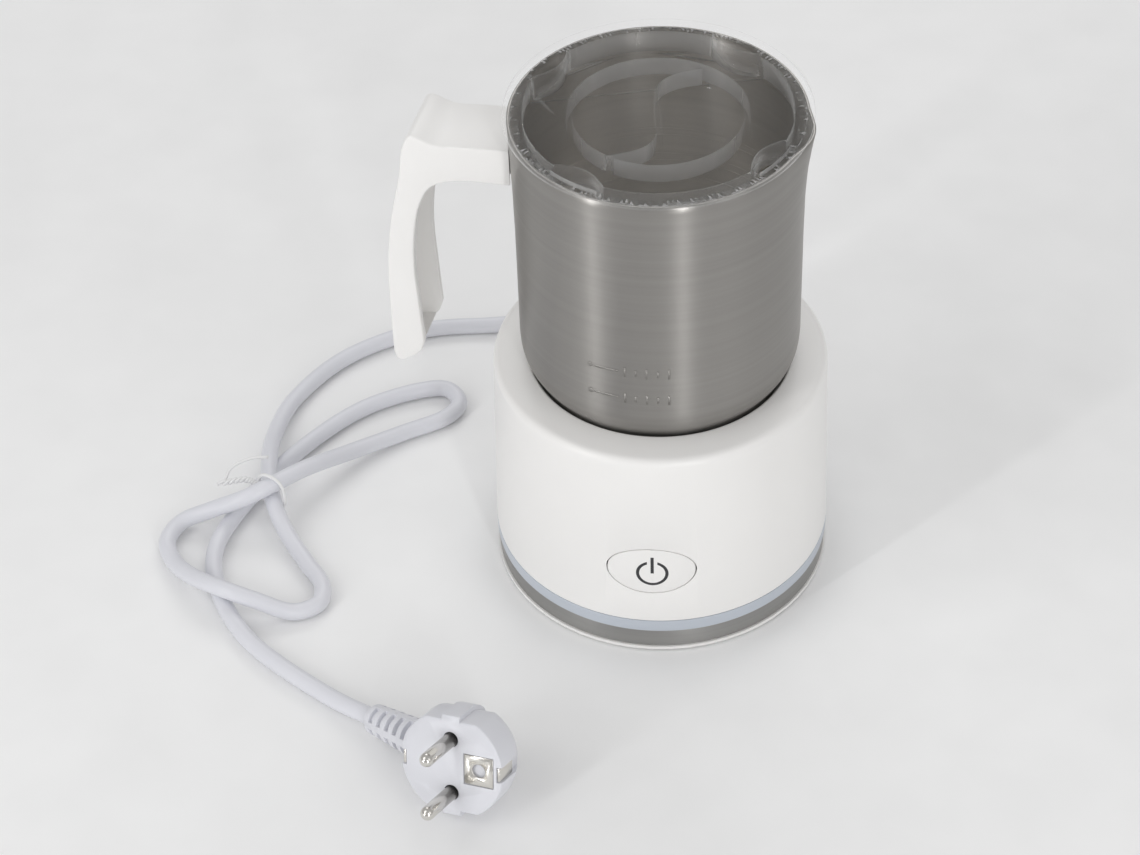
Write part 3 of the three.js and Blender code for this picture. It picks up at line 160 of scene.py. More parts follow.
def make_brushed_group():
    """Fine lines round a turned piece: they run level, so they change with height only."""
    sizes = [("Fineness", 2600.0), ("Along", 12.0)]
    tree, start, end = group_tree("brushed_lines", sizes, ["Height", "Streaks"])
    place = tree.nodes.new("ShaderNodeTexCoord")
    split = tree.nodes.new("ShaderNodeSeparateXYZ")
    tree.links.new(place.outputs["Object"], split.inputs[0])
    for out, divide in (("Height", 1.0), ("Streaks", 7.0)):
        level = math_node(tree, "MULTIPLY", split.outputs[2], start.outputs["Fineness"])
        level = math_node(tree, "DIVIDE", level, divide)
        joined = tree.nodes.new("ShaderNodeCombineXYZ")
        for axis in (0, 1):
            across = math_node(tree, "MULTIPLY", split.outputs[axis], start.outputs["Along"])
            tree.links.new(across, joined.inputs[axis])
        tree.links.new(level, joined.inputs[2])
        noise = tree.nodes.new("ShaderNodeTexNoise")
        noise.inputs["Scale"].default_value = 1
        noise.inputs["Detail"].default_value = 2
        tree.links.new(joined.outputs[0], noise.inputs["Vector"])
        tree.links.new(noise.outputs[0], end.inputs[out])
    return tree


def make_power_mark_group():
    """A generic standby mark seen from -Y: an open ring with an upright bar."""
    sizes = [("Centre X", 0.0), ("Centre Z", 0.0378), ("Radius", 0.005), ("Stroke", 0.0011),
             ("Bar Top", 0.0452)]
    tree, start, end = group_tree("power_mark", sizes, ["Mask"])
    place = tree.nodes.new("ShaderNodeTexCoord")
    split = tree.nodes.new("ShaderNodeSeparateXYZ")
    tree.links.new(place.outputs["Object"], split.inputs[0])
    x = math_node(tree, "SUBTRACT", split.outputs[0], start.outputs["Centre X"])
    z = math_node(tree, "SUBTRACT", split.outputs[2], start.outputs["Centre Z"])
    half = math_node(tree, "MULTIPLY", start.outputs["Stroke"], 0.5)
    distance = math_node(tree, "SQRT", math_node(tree, "ADD", math_node(tree, "MULTIPLY", x, x),
                                                 math_node(tree, "MULTIPLY", z, z)))
    off_ring = math_node(tree, "ABSOLUTE", math_node(tree, "SUBTRACT", distance, start.outputs["Radius"]))
    on_ring = math_node(tree, "LESS_THAN", off_ring, half)
    side = math_node(tree, "ABSOLUTE", x)
    beside = math_node(tree, "GREATER_THAN", side, math_node(tree, "MULTIPLY", half, 3.2))
    below = math_node(tree, "LESS_THAN", z, 0)
    ring = math_node(tree, "MULTIPLY", on_ring, math_node(tree, "MAXIMUM", beside, below))
    in_width = math_node(tree, "LESS_THAN", side, half)
    above = math_node(tree, "GREATER_THAN", z, 0)
    under = math_node(tree, "LESS_THAN", split.outputs[2], start.outputs["Bar Top"])
    bar = math_node(tree, "MULTIPLY", in_width, math_node(tree, "MULTIPLY", above, under))
    front = math_node(tree, "LESS_THAN", split.outputs[1], -0.05)
    mask = math_node(tree, "MULTIPLY", math_node(tree, "MAXIMUM", ring, bar), front)
    tree.links.new(mask, end.inputs["Mask"])
    return tree


grain_group = make_grain_group()
brushed_group = make_brushed_group()
power_group = make_power_mark_group()


def new_material(name, colour, roughness, metallic=0.0):
    material = bpy.data.materials.new(name)
    material.use_nodes = True
    shader = material.node_tree.nodes["Principled BSDF"]
    shader.inputs["Base Color"].default_value = (*colour, 1)
    shader.inputs["Roughness"].default_value = roughness
    shader.inputs["Metallic"].default_value = metallic
    material.diffuse_color = (*colour, 1)
    return material, material.node_tree, shader


def use_group(tree, group, **values):
    node = tree.nodes.new("ShaderNodeGroup")
    node.node_tree = group
    for label, value in values.items():
        node.inputs[label.replace("_", " ")].default_value = value
    return node


def map_range(tree, value, low, high, source_low=0.3, source_high=0.7):
    node = tree.nodes.new("ShaderNodeMapRange")
    node.inputs["From Min"].default_value = source_low
    node.inputs["From Max"].default_value = source_high
    node.inputs["To Min"].default_value = low
    node.inputs["To Max"].default_value = high
    tree.links.new(value, node.inputs["Value"])
    return node.outputs[0]


def add_bump(tree, shader, height, strength, distance):
    bump = tree.nodes.new("ShaderNodeBump")
    bump.inputs["Strength"].default_value = strength
    bump.inputs["Distance"].default_value = distance
    tree.links.new(height, bump.inputs["Height"])
    tree.links.new(bump.outputs[0], shader.inputs["Normal"])


def tinted(tree, mask, first, second):
    mix = tree.nodes.new("ShaderNodeMix")
    mix.data_type = "RGBA"
    mix.inputs[6].default_value = (*first, 1)
    mix.inputs[7].default_value = (*second, 1)
    tree.links.new(mask, mix.inputs[0])
    return mix.outputs[2]


def plain_material(name, colour, roughness, metallic=0.0, strength=0.12, scale=900.0, shift=0.03):
    """Moulded or cast surface: faint patches of tone and gloss over a fine grain."""
    material, tree, shader = new_material(name, colour, roughness, metallic)
    grain = use_group(tree, grain_group, Scale=scale)
    darker = tuple(max(0, channel * (1 - shift)) for channel in colour)
    patches = map_range(tree, grain.outputs["Patches"], 0, 1)
    tree.links.new(tinted(tree, patches, colour, darker), shader.inputs["Base Color"])
    gloss = map_range(tree, grain.outputs["Patches"], roughness * 0.92, min(1, roughness * 1.08))
    tree.links.new(gloss, shader.inputs["Roughness"])
    add_bump(tree, shader, grain.outputs["Height"], strength, 0.00003)
    return material


def brushed_material(name, colour, roughness, fineness=2600.0, along=12.0, strength=0.12, spread=0.8):
    """Metal brushed round its axis, so that a light is drawn out upright across the lines."""
    material, tree, shader = new_material(name, colour, roughness, 1)
    shader.inputs["Anisotropic"].default_value = spread
    shader.inputs["Anisotropic Rotation"].default_value = 0.25
    lines = use_group(tree, brushed_group, Fineness=fineness, Along=along)
    darker = tuple(channel * 0.93 for channel in colour)
    streaks = map_range(tree, lines.outputs["Streaks"], 0, 1)
    toned = tinted(tree, streaks, colour, darker)
    tree.links.new(toned, shader.inputs["Base Color"])
    gloss = map_range(tree, lines.outputs["Height"], roughness * 0.85, roughness * 1.2)
    tree.links.new(gloss, shader.inputs["Roughness"])
    add_bump(tree, shader, lines.outputs["Height"], strength, 0.00004)
    return material


def clear_material(name, colour, roughness):
    material, tree, shader = new_material(name, colour, roughness)
    shader.inputs["Specular IOR Level"].default_value = 1
    facing = tree.nodes.new("ShaderNodeLayerWeight")
    facing.inputs["Blend"].default_value = 0.45
    tree.links.new(map_range(tree, facing.outputs["Facing"], 0.03, 0.62, 0.42, 1), shader.inputs["Alpha"])
    grain = use_group(tree, grain_group, Scale=60.0)
    gloss = map_range(tree, grain.outputs["Patches"], roughness * 0.8, roughness * 1.3)
    tree.links.new(gloss, shader.inputs["Roughness"])
    return material


def button_material(name, colour, roughness):
    material = plain_material(name, colour, roughness)
    tree = material.node_tree
    shader = tree.nodes["Principled BSDF"]
    base = shader.inputs["Base Color"].links[0].from_socket
    low, high = node_box("power_button")
    centre = (low + high) / 2
    mark = use_group(tree, power_group, Centre_X=centre.x + 0.00035, Centre_Z=centre.z - 0.0009,
                     Bar_Top=centre.z + 0.0065)
    mix = tree.nodes.new("ShaderNodeMix")
    mix.data_type = "RGBA"
    mix.inputs[7].default_value = (0.025, 0.025, 0.028, 1)
    tree.links.new(base, mix.inputs[6])
    tree.links.new(mark.outputs[0], mix.inputs[0])
    tree.links.new(mix.outputs[2], shader.inputs["Base Color"])
    return material


white_plastic = plain_material("white_plastic", (0.88, 0.87, 0.855), 0.34, shift=0.015)
button_plastic = button_material("button_plastic", (0.88, 0.87, 0.855), 0.3)
light_plastic = plain_material("light_plastic", (0.52, 0.56, 0.62), 0.32)
trim_metal = brushed_material("trim_metal", (0.38, 0.375, 0.365), 0.36, fineness=1800.0, along=6.0)
# Outer jug steel is set darker than the real steel: painted shade standing in for its tone under the lights.
jug_steel = brushed_material("jug_steel", (0.35, 0.338, 0.322), 0.34, along=3.0, spread=0.9)
clear_plastic = clear_material("clear_plastic", (1.0, 1.0, 1.0), 0.02)
# Inner jug steel is the same steel set much lighter than the outside: painted light inside the jug.
jug_inside_painted_light = brushed_material("jug_inside_painted_light", (0.8, 0.775, 0.74), 0.32, along=3.0, spread=0.9)
lead_plastic = plain_material("lead_plastic", (0.74, 0.745, 0.79), 0.36, strength=0.08)
tie_plastic = plain_material("tie_plastic", (0.82, 0.82, 0.82), 0.4)
nickel = plain_material("nickel", (0.72, 0.70, 0.66), 0.2, 1, strength=0.04)
inner_plastic = plain_material("inner_plastic", (0.66, 0.66, 0.63), 0.55)
satin_metal = plain_material("satin_metal", (0.5, 0.49, 0.48), 0.35, 1)
copper = plain_material("copper", (0.72, 0.34, 0.18), 0.35, 1)
ferrite = plain_material("ferrite", (0.05, 0.05, 0.055), 0.7)
magnet_metal = plain_material("magnet_metal", (0.6, 0.6, 0.62), 0.25, 1)
board_green = plain_material("board_green", (0.02, 0.16, 0.06), 0.45)
dark_plastic = plain_material("dark_plastic", (0.03, 0.03, 0.034), 0.45)
soft_rubber = plain_material("soft_rubber", (0.55, 0.55, 0.54), 0.85)
aluminium = plain_material("aluminium", (0.6, 0.6, 0.6), 0.4, 1)

CARRIED = {
    "inner_plastic": (inner_plastic, ["seat_plate", "coil_carrier", "drive_hub", "terminal_block",
                                      "cord_clamp"]),
    "satin_metal": (satin_metal, ["motor_bracket", "motor_can", "handle_bracket", "handle_screw",
                                  "clamp_screw_1", "clamp_screw_2", "motor_screw_1", "motor_screw_2",
                                  "cover_screw_1", "cover_screw_2", "cover_screw_3"]),
    "nickel": (nickel, ["motor_shaft", "whisk_post"]),
    "copper": (copper, ["induction_coil", "choke"]),
    "ferrite": (ferrite, ["ferrite_bar_1", "ferrite_bar_2", "ferrite_bar_3", "ferrite_bar_4"]),
    "magnet": (magnet_metal, ["drive_magnet_1", "drive_magnet_2", "whisk_magnet_1", "whisk_magnet_2"]),
    "board_green": (board_green, ["circuit_board", "switch_board"]),
    "dark_plastic": (dark_plastic, ["temperature_sensor", "motor_cap", "capacitor", "switch_body"]),
    "rubber": (soft_rubber, ["foot_1", "foot_2", "foot_3", "foot_4"]),
    "lead_plastic": (lead_plastic, ["inner_lead"]),
    "aluminium": (aluminium, ["heat_sink"]),
    "white_plastic": (white_plastic, ["bottom_cover", "switch_plunger"]),
}
for slot_name, (material, nodes) in CARRIED.items():
    for node in nodes:
        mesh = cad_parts[node].data
        mesh.materials.clear()
        mesh.materials.append(material)


# ---- Building pieces -----------------------------------------------------------------------------

def new_object(name, points, faces, material=None, smooth=True):
    mesh = bpy.data.meshes.new(name)
    mesh.from_pydata([tuple(p) for p in points], [], faces)
    mesh.validate()
    mesh.update()
    piece = bpy.data.objects.new(name, mesh)
    bpy.context.scene.collection.objects.link(piece)
    if material:
        mesh.materials.append(material)
    if smooth:
        mesh.shade_smooth()
    return piece


def lathe(name, profile, material=None, sides=160, closed=True):
    """Turns [radius, height] points in millimetres about the Z axis."""
    points, rings, faces = [], [], []
    for radius, height in profile:
        if radius < 1e-6:
            rings.append([len(points)])
            points.append((0, 0, height * MM))
            continue
        rings.append(list(range(len(points), len(points) + sides)))
        for i in range(sides):
            turn = 2 * math.pi * i / sides
            points.append((radius * MM * math.cos(turn), radius * MM * math.sin(turn), height * MM))
    pairs = list(zip(rings, rings[1:] + rings[:1])) if closed else list(zip(rings, rings[1:]))
    for lower, upper in pairs:
        if len(lower) == 1 and len(upper) == 1:
            continue
        for i in range(sides):
            j = (i + 1) % sides
            if len(lower) == 1:
                faces.append((lower[0], upper[j], upper[i]))
            elif len(upper) == 1:
                faces.append((lower[i], lower[j], upper[0]))
            else:
                faces.append((lower[i], lower[j], upper[j], upper[i]))
    return new_object(name, points, faces, material)


def rounded(profile, radii, steps=4):
    """Rounds the corners of an open [x, y] outline: radii holds one value per point."""
    result = []
    count = len(profile)
    for i, (point, radius) in enumerate(zip(profile, radii)):
        here = Vector(point)
        if not radius:
            result.append(tuple(here))
            continue
        before = Vector(profile[(i - 1) % count]) - here
        after = Vector(profile[(i + 1) % count]) - here
        reach = min(radius, before.length * 0.48, after.length * 0.48)
        start = here + before.normalized() * reach
        end = here + after.normalized() * reach
        for k in range(steps + 1):
            t = k / steps
            spot = start * (1 - t) ** 2 + here * 2 * t * (1 - t) + end * t ** 2
            result.append(tuple(spot))
    return result


def extrude(name, outline, bottom, top, material=None):
    """Raises a flat outline of [x, y] millimetres between two heights."""
    count = len(outline)
    points = [(x * MM, y * MM, z * MM) for z in (bottom, top) for x, y in outline]
    faces = [tuple(reversed(range(count))), tuple(range(count, 2 * count))]
    faces += [(i, (i + 1) % count, count + (i + 1) % count, count + i) for i in range(count)]
    return new_object(name, points, faces, material, smooth=False)


def recalculate(piece):
    data = bmesh.new()
    data.from_mesh(piece.data)
    bmesh.ops.remove_doubles(data, verts=data.verts, dist=1e-7)
    bmesh.ops.recalc_face_normals(data, faces=data.faces)
    data.to_mesh(piece.data)
    data.free()


def baked(piece):
    """Makes the piece's modifiers permanent."""
    bpy.context.view_layer.update()
    shape = bpy.data.meshes.new_from_object(piece.evaluated_get(bpy.context.evaluated_depsgraph_get()))
    piece.modifiers.clear()
    old = piece.data
    piece.data = shape
    bpy.data.meshes.remove(old)
    return piece


def combine(piece, others, operation):
    for other in others:
        recalculate(other)
        modifier = piece.modifiers.new("shape", "BOOLEAN")
        modifier.operation = operation
        modifier.solver = "EXACT"
        modifier.object = other
        baked(piece)
        bpy.data.objects.remove(other)
    return piece


def soften(piece, width, segments=3, angle=35):
    """Rounds the sharp edges a little and shades the rest smooth."""
    modifier = piece.modifiers.new("edges", "BEVEL")
    modifier.width = width * MM
    modifier.segments = segments
    modifier.limit_method = "ANGLE"
    modifier.angle_limit = math.radians(angle)
    modifier.harden_normals = False
    baked(piece)
    piece.data.shade_smooth()
    return piece


def move(piece, matrix):
    piece.data.transform(matrix)
    piece.data.update()
    return piece


def hand_over(piece, body, node):
    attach(piece, body)
    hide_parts(node)


def catmull(points, per_span=8):
    """Centripetal spline through 3-D points."""
    spots = [Vector(p) for p in points]
    spots = [spots[0] * 2 - spots[1], *spots, spots[-1] * 2 - spots[-2]]
    line = []
    for a, b, c, d in zip(spots, spots[1:], spots[2:], spots[3:]):
        t0 = 0
        t1 = t0 + (b - a).length ** 0.5
        t2 = t1 + (c - b).length ** 0.5
        t3 = t2 + (d - c).length ** 0.5
        for k in range(per_span):
            t = t1 + (t2 - t1) * k / per_span
            p = a * ((t1 - t) / (t1 - t0)) + b * ((t - t0) / (t1 - t0))
            q = b * ((t2 - t) / (t2 - t1)) + c * ((t - t1) / (t2 - t1))
            r = c * ((t3 - t) / (t3 - t2)) + d * ((t - t2) / (t3 - t2))
            s = p * ((t2 - t) / (t2 - t0)) + q * ((t - t0) / (t2 - t0))
            u = q * ((t3 - t) / (t3 - t1)) + r * ((t - t1) / (t3 - t1))
            line.append(s * ((t2 - t) / (t2 - t1)) + u * ((t - t1) / (t2 - t1)))
    line.append(spots[-2])
    return line


def tube(name, line, radius, material, sides=16):
    """A round rod along a line of points, closed at both ends. radius may be one per point."""
    radii = radius if isinstance(radius, list) else [radius] * len(line)
    points, faces = [], []
    side = None
    for i, spot in enumerate(line):
        ahead = (line[min(i + 1, len(line) - 1)] - line[max(i - 1, 0)]).normalized()
        if side is None:
            side = ahead.orthogonal().normalized()
        side = (side - ahead * side.dot(ahead)).normalized()
        over = ahead.cross(side)
        for k in range(sides):
            turn = 2 * math.pi * k / sides
            points.append(spot + (side * math.cos(turn) + over * math.sin(turn)) * radii[i])
    for i in range(len(line) - 1):
        for k in range(sides):
            j = (k + 1) % sides
            faces.append((i * sides + k, i * sides + j, (i + 1) * sides + j, (i + 1) * sides + k))
    last = (len(line) - 1) * sides
    faces.append(tuple(reversed(range(sides))))
    faces.append(tuple(range(last, last + sides)))
    return new_object(name, points, faces, material)


# ---- Mains lead ----------------------------------------------------------------------------------

LEAD_DIAMETER = 0.0062
LEAD_ROUTE = [
    (0, 84, 22), (0, 88, 22), (-5, 98.5, 18.8), (-22, 108.5, 9.6), (-69.7, 108, 3.3), (-100, 102.8, 3.3),
    (-127, 85.5, 3.3), (-143.5, 60, 3.4), (-147.3, 38, 5.6), (-146.2, 20, 9.5), (-141.6, -0.5, 9.4),
    (-136, -11.5, 5.4), (-126, -26, 3.3), (-119, -36.5, 3.3), (-118.8, -45.5, 3.3), (-127, -50.5, 3.5),
    (-141, -49.5, 7.8), (-152, -47, 10), (-165, -38.6, 7.2), (-174, -28, 3.9), (-178.2, -17.5, 3.4),
    (-174.5, -8.2, 4), (-164, -5.2, 7.6), (-150, -4.2, 14), (-141.5, 0.8, 15.9), (-131, 12, 14),
    (-117, 29, 7), (-99, 44.5, 3.3), (-84.2, 54, 3.3), (-80.4, 62, 3.3), (-86.5, 69.6, 3.3),
    (-113, 59.5, 3.3), (-137, 33, 3.3), (-155.6, -3, 3.3), (-160, -22, 3.3), (-156, -40, 3.3),
    (-141.5, -64, 3.3), (-109, -89.6, 3.6),
]

# The plug's own frame: X along the line of its pins, Y towards the lead, Z along the pins
PLUG_FACE = Vector((-61.1, -133.5, 21.2)) * MM
PINS_TOWARD = Vector((-0.348, -0.861, 0.372)).normalized()
TOP_TOWARD = Vector((-0.007, 0.399, 0.917))
plug_y = PINS_TOWARD.cross(TOP_TOWARD).normalized()
plug_x = plug_y.cross(PINS_TOWARD)
PLUG_FRAME = Matrix.Translation(PLUG_FACE) @ Matrix((plug_x, plug_y, PINS_TOWARD)).transposed().to_4x4()
BOOT_ANGLE = math.radians(21)
BOOT_START = Vector((0, 6, -8.6))
BOOT_HEADING = Vector((0, math.cos(BOOT_ANGLE), -math.sin(BOOT_ANGLE)))
BOOT_LENGTH = 37


def lead_line():
    route = [Vector(p) * MM for p in LEAD_ROUTE]
    tip = BOOT_START + BOOT_HEADING * (BOOT_LENGTH + 0.3)
    for point in (tip + BOOT_HEADING * 3, tip):
        route.append(PLUG_FRAME @ (point * MM))
    return catmull(route, 10)


lead_path = lead_line()
power_cord = tube("mains_lead", lead_path, LEAD_DIAMETER / 2, lead_plastic, 20)
hand_over(power_cord, "base", "power_cord")


def make_tie():
    centre = Vector((-141.9, 0.5, 12.65)) * MM
    wire = 0.00062
    across = Vector((math.cos(math.radians(152)), math.sin(math.radians(152)), 0))
    upward = Vector((0, 0, 1))
    loop = []
    for k in range(49):
        turn = 2 * math.pi * k / 48
        wide = math.copysign(abs(math.cos(turn)) ** 0.8, math.cos(turn))
        tall = math.copysign(abs(math.sin(turn)) ** 0.8, math.sin(turn))
        loop.append(centre + across * wide * 0.0058 + upward * tall * 0.0074)
    start = centre + across * 0.0058
    ends = [start, start + Vector((-0.0042, 0.0012, 0.0016)), start + Vector((-0.0132, 0.0008, 0.0002))]
    spine = catmull(ends, 24)
    strands = []
    for phase in (0, math.pi):
        line = []
        for i, spot in enumerate(spine):
            turn = i * 0.62 + phase
            line.append(spot + Vector((0, math.cos(turn), math.sin(turn))) * wire)
        strands.append(line)
    last = strands[0][-1]
    strands[0] += catmull([last, last + Vector((0.002, 0.005, 0.003)), last + Vector((0.009, 0.008, 0.0056)),
                           last + Vector((0.0155, 0.0095, 0.0052))], 6)[1:]
    strands[1] += [strands[1][-1] + Vector((-0.0022, -0.0012, -0.0006))]
    parts = [tube("tie_part", line, wire, tie_plastic, 10) for line in (loop, *strands)]
    return join("cord_tie_wire", parts)


def join(name, parts):
    points, faces = [], []
    material = parts[0].data.materials[0] if parts[0].data.materials else None
    for part in parts:
        start = len(points)
        points += [v.co.copy() for v in part.data.vertices]
        faces += [tuple(start + i for i in polygon.vertices) for polygon in part.data.polygons]
    for part in parts:
        bpy.data.objects.remove(part)
    return new_object(name, points, faces, material)


cord_tie = make_tie()
hand_over(cord_tie, "base", "cord_tie")


def make_relief():
    low, high = node_box("strain_relief")
    start, tip = low.y / MM, high.y / MM
    out = start + 3.9
    profile = [(0, start), (7, start), (7, start + 2), (4.2, start + 2),
               (4.2, out), (5.6, out), (5.7, out + 2.6)]
    ribs = 6
    pitch = (tip - out - 3) / ribs
    for i in range(ribs):
        radius = 5.6 + (4 - 5.6) * (i + 1) / ribs
        begin = out + 3 + i * pitch
        profile += [(radius + 0.2, begin), (radius - 0.6, begin + 0.5), (radius - 0.6, begin + pitch * 0.45),
                    (radius + 0.05, begin + pitch * 0.6)]
    profile += [(4, tip - 0.5), (3.5, tip), (0, tip)]
    radii = [0] + [0.4] * (len(profile) - 2) + [0]
    relief = lathe("gland_relief", rounded(profile, radii, 3), lead_plastic, 48)
    centre = (low + high) / 2
    return move(relief, Matrix.Translation((0, 0, centre.z)) @ Matrix.Rotation(-math.pi / 2, 4, "X"))


relief = make_relief()
recalculate(relief)
relief.data.shade_smooth()
hand_over(relief, "base", "strain_relief")


# ---- Plug ----------------------------------------------------------------------------------------

def plug_outline(grow):
    radius, flat, reach, half = 18.6 + grow, 16.2 + grow, 17.9 + grow, 3.2
    start = math.acos(flat / radius)
    side = [(radius * math.cos(start + (math.pi - 2 * start) * i / 20),
             radius * math.sin(start + (math.pi - 2 * start) * i / 20)) for i in range(21)]
    rail = [(-flat, half), (-reach, half), (-reach, -half), (-flat, -half)]
    return side + rail + [(-x, -y) for x, y in side] + [(-x, -y) for x, y in rail]


def make_plug_body():
    layers = [(0, -0.8), (-0.5, -0.15), (-1.2, 0), (-10.4, 0), (-12.5, -0.6), (-15.2, -1.7), (-17.8, -3.6),
              (-19.6, -5.9), (-20.4, -8.8)]
    points, faces = [], []
    for depth, grow in layers:
        points += [(x * MM, y * MM, depth * MM) for x, y in plug_outline(grow)]
    count = len(plug_outline(0))
    for i in range(len(layers) - 1):
        for k in range(count):
            j = (k + 1) % count
            faces.append((i * count + k, (i + 1) * count + k, (i + 1) * count + j, i * count + j))
    faces.append(tuple(range(count)))
    faces.append(tuple(reversed(range((len(layers) - 1) * count, len(layers) * count))))
    body = new_object("plug_housing", points, faces, lead_plastic)
    recalculate(body)
    boot_turn = Matrix.Translation(BOOT_START * MM) @ Matrix.Rotation(-math.pi / 2 - BOOT_ANGLE, 4, "X")
    profile = [(0, 0), (7.6, 0), (7.2, 6), (6.4, 18), (5.2, BOOT_LENGTH - 0.8),
               (4.6, BOOT_LENGTH), (0, BOOT_LENGTH)]
    boot = lathe("boot", profile, lead_plastic, 48)
    recalculate(boot)
    cutters = []
    for i in range(5):
        along = BOOT_LENGTH - 5 - i * 4.4
        for quarter in range(4):
            cutter = arc_block(4.0, 12, along, along + 2.1, 12 + quarter * 90, 78 + quarter * 90)
            cutters.append(cutter)
    combine(boot, cutters, "DIFFERENCE")
    move(boot, boot_turn)
    slots = []
    for side in (1, -1):
        low, high = (16.4, 24) if side > 0 else (-24, -16.4)
        depth = -6 if side > 0 else -30
        slots.append(box_block(-2.7, 2.7, low, high, depth, 3))
    combine(body, slots, "DIFFERENCE")
    combine(body, [boot], "UNION")
    holes = []
    for x in (-9.5, 9.5):
        hole = lathe("hole", [(0, -6), (2.7, -6), (2.7, 2), (0, 2)], None, 32)
        holes.append(move(hole, Matrix.Translation((x * MM, 0, 0))))
    holes.append(box_block(-5.5, 5.5, -15.5, -4.5, -1.5, 3))
    combine(body, holes, "DIFFERENCE")
    soften(body, 0.35, 2, 40)
    return body


def box_block(x0, x1, y0, y1, z0, z1):
    points = [(x * MM, y * MM, z * MM) for z in (z0, z1) for x, y in ((x0, y0), (x1, y0), (x1, y1), (x0, y1))]
    faces = [(3, 2, 1, 0), (4, 5, 6, 7), (0, 1, 5, 4), (1, 2, 6, 5), (2, 3, 7, 6), (3, 0, 4, 7)]
    return new_object("block", points, faces, None, False)


def arc_block(inner, outer, bottom, top, start, end, steps=10):
    angles = [math.radians(start + (end - start) * i / steps) for i in range(steps + 1)]
    ring = [(outer * math.cos(a), outer * math.sin(a)) for a in angles]
    ring += [(inner * math.cos(a), inner * math.sin(a)) for a in reversed(angles)]
    return extrude("block", ring, bottom, top)


plug_body = move(make_plug_body(), PLUG_FRAME)
hand_over(plug_body, "base", "plug_body")


def make_pin(name, x):
    profile = [(0, -5), (2.4, -5), (2.4, 16.6)]
    profile += [(2.4 * math.cos(math.radians(a)), 16.6 + 2.4 * math.sin(math.radians(a)))
                for a in (15, 30, 45, 60, 75)]
    profile += [(0, 19)]
    pin = lathe(name, profile, nickel, 40, closed=False)
    recalculate(pin)
    pin.data.shade_smooth()
    return move(pin, PLUG_FRAME @ Matrix.Translation((x * MM, 0, 0)))


for index, x in ((1, -9.5), (2, 9.5)):
    pin = make_pin(f"plug_contact_{index}", x)
    hand_over(pin, "base", f"plug_pin_{index}")


def make_earth_pieces():
    plate = box_block(-5.2, 5.2, -15.2, -4.8, -1.1, -0.1)
    hole = lathe("hole", [(0, -3), (2.4, -3), (2.4, 2), (0, 2)], None, 40)
    combine(plate, [move(hole, Matrix.Translation((0, -10 * MM, 0)))], "DIFFERENCE")
    plate.name = "earth_contact_plate"
    front = box_block(-2.4, 2.4, 16.7, 17.7, -4, -0.4)
    back = box_block(-2.4, 2.4, -17.7, -16.7, -9.4, -0.4)
    front.name, back.name = "earth_side_contact_1", "earth_side_contact_2"
    for piece in (plate, front, back):
        piece.data.materials.clear()
        piece.data.materials.append(nickel)
        recalculate(piece)
        soften(piece, 0.15, 2)
        move(piece, PLUG_FRAME)
    return plate, front, back


for piece, node in zip(make_earth_pieces(), ("earth_plate", "earth_clip_1", "earth_clip_2")):
    hand_over(piece, "base", node)


# ---- Base ----------------------------------------------------------------------------------------

shell_low, shell_high = node_box("base_shell")
R_BASE = shell_high.x / MM
R_TOP = R_BASE - 1.8
SHELL_LOW = shell_low.z / MM
TOP = shell_high.z / MM
RECESS = 44.7


def shell_profile():
    wall = 2.4
    seat_top = node_box("seat_plate")[0].z / MM - 0.3
    outline = [
        (R_BASE, SHELL_LOW), (R_TOP, TOP - 0.8), (RECESS, TOP), (RECESS, seat_top), (RECESS - 3.6, seat_top),
        (RECESS - 3.6, seat_top - 1.2), (RECESS + wall, seat_top - 1.2), (RECESS + wall, TOP - 0.8 - wall),
        (R_TOP - wall, TOP - 0.8 - wall), (R_BASE - wall, SHELL_LOW),
    ]
    return rounded(outline, [0.25, 2.9, 1.1, 0.2, 0.1, 0.1, 0.1, 0.4, 0.4, 0.1], 6)


def ellipse_block(width, height, y0, y1, centre_z, sides=96):
    ring = [(width / 2 * math.cos(2 * math.pi * i / sides), height / 2 * math.sin(2 * math.pi * i / sides))
            for i in range(sides)]
    block = extrude("block", ring, y0, y1)
    return move(block, Matrix.Translation((0, 0, centre_z * MM)) @ Matrix.Rotation(math.pi / 2, 4, "X"))


button_low, button_high = node_box("power_button")
BUTTON_Z = (button_low.z + button_high.z) / 2 / MM


def make_shell():
    shell = lathe("base_housing", shell_profile(), white_plastic, 200)
    recalculate(shell)
    hole = ellipse_block(30.9, 20.7, 40, 75, BUTTON_Z)
    gland = lathe("hole", [(0, 45), (4.5, 45), (4.5, 75), (0, 75)], None, 40)
    move(gland, Matrix.Translation((0, 0, 0.022)) @ Matrix.Rotation(-math.pi / 2, 4, "X"))
    combine(shell, [hole, gland], "DIFFERENCE")
    soften(shell, 0.3, 2, 50)
    return shell


shell = make_shell()
hand_over(shell, "base", "base_shell")


def make_button():
    taper = (R_BASE - R_TOP) / (TOP - 0.8 - SHELL_LOW)
    low, high = BUTTON_Z - 14, BUTTON_Z + 14
    at = lambda z: R_BASE - taper * (z - SHELL_LOW)
    section = [(at(low) - 3.9, low), (at(low), low), (at(high), high), (at(high) - 3.9, high)]
    wall = lathe("power_button_cap", section, button_plastic, 240)
    recalculate(wall)
    combine(wall, [ellipse_block(30, 19.8, 45, 75, BUTTON_Z)], "INTERSECT")
    soften(wall, 0.4, 3, 50)
    wall.data.materials.clear()
    wall.data.materials.append(button_plastic)
    return wall


button = make_button()
hand_over(button, "button", "power_button")


def band(name, node, inner, material, edge=0.25):
    low, high = node_box(node)
    outer, bottom, top = high.x / MM, low.z / MM, high.z / MM
    outline = [(inner, bottom), (outer, bottom), (outer, top), (inner, top)]
    piece = lathe(name, rounded(outline, [0.1, edge, edge, 0.1], 3), material, 200)
    recalculate(piece)
    piece.data.shade_smooth()
    hand_over(piece, "base", node)


band("light_band", "light_ring", 56.7, light_plastic)
band("trim_band", "trim_ring", 56.7, trim_metal)


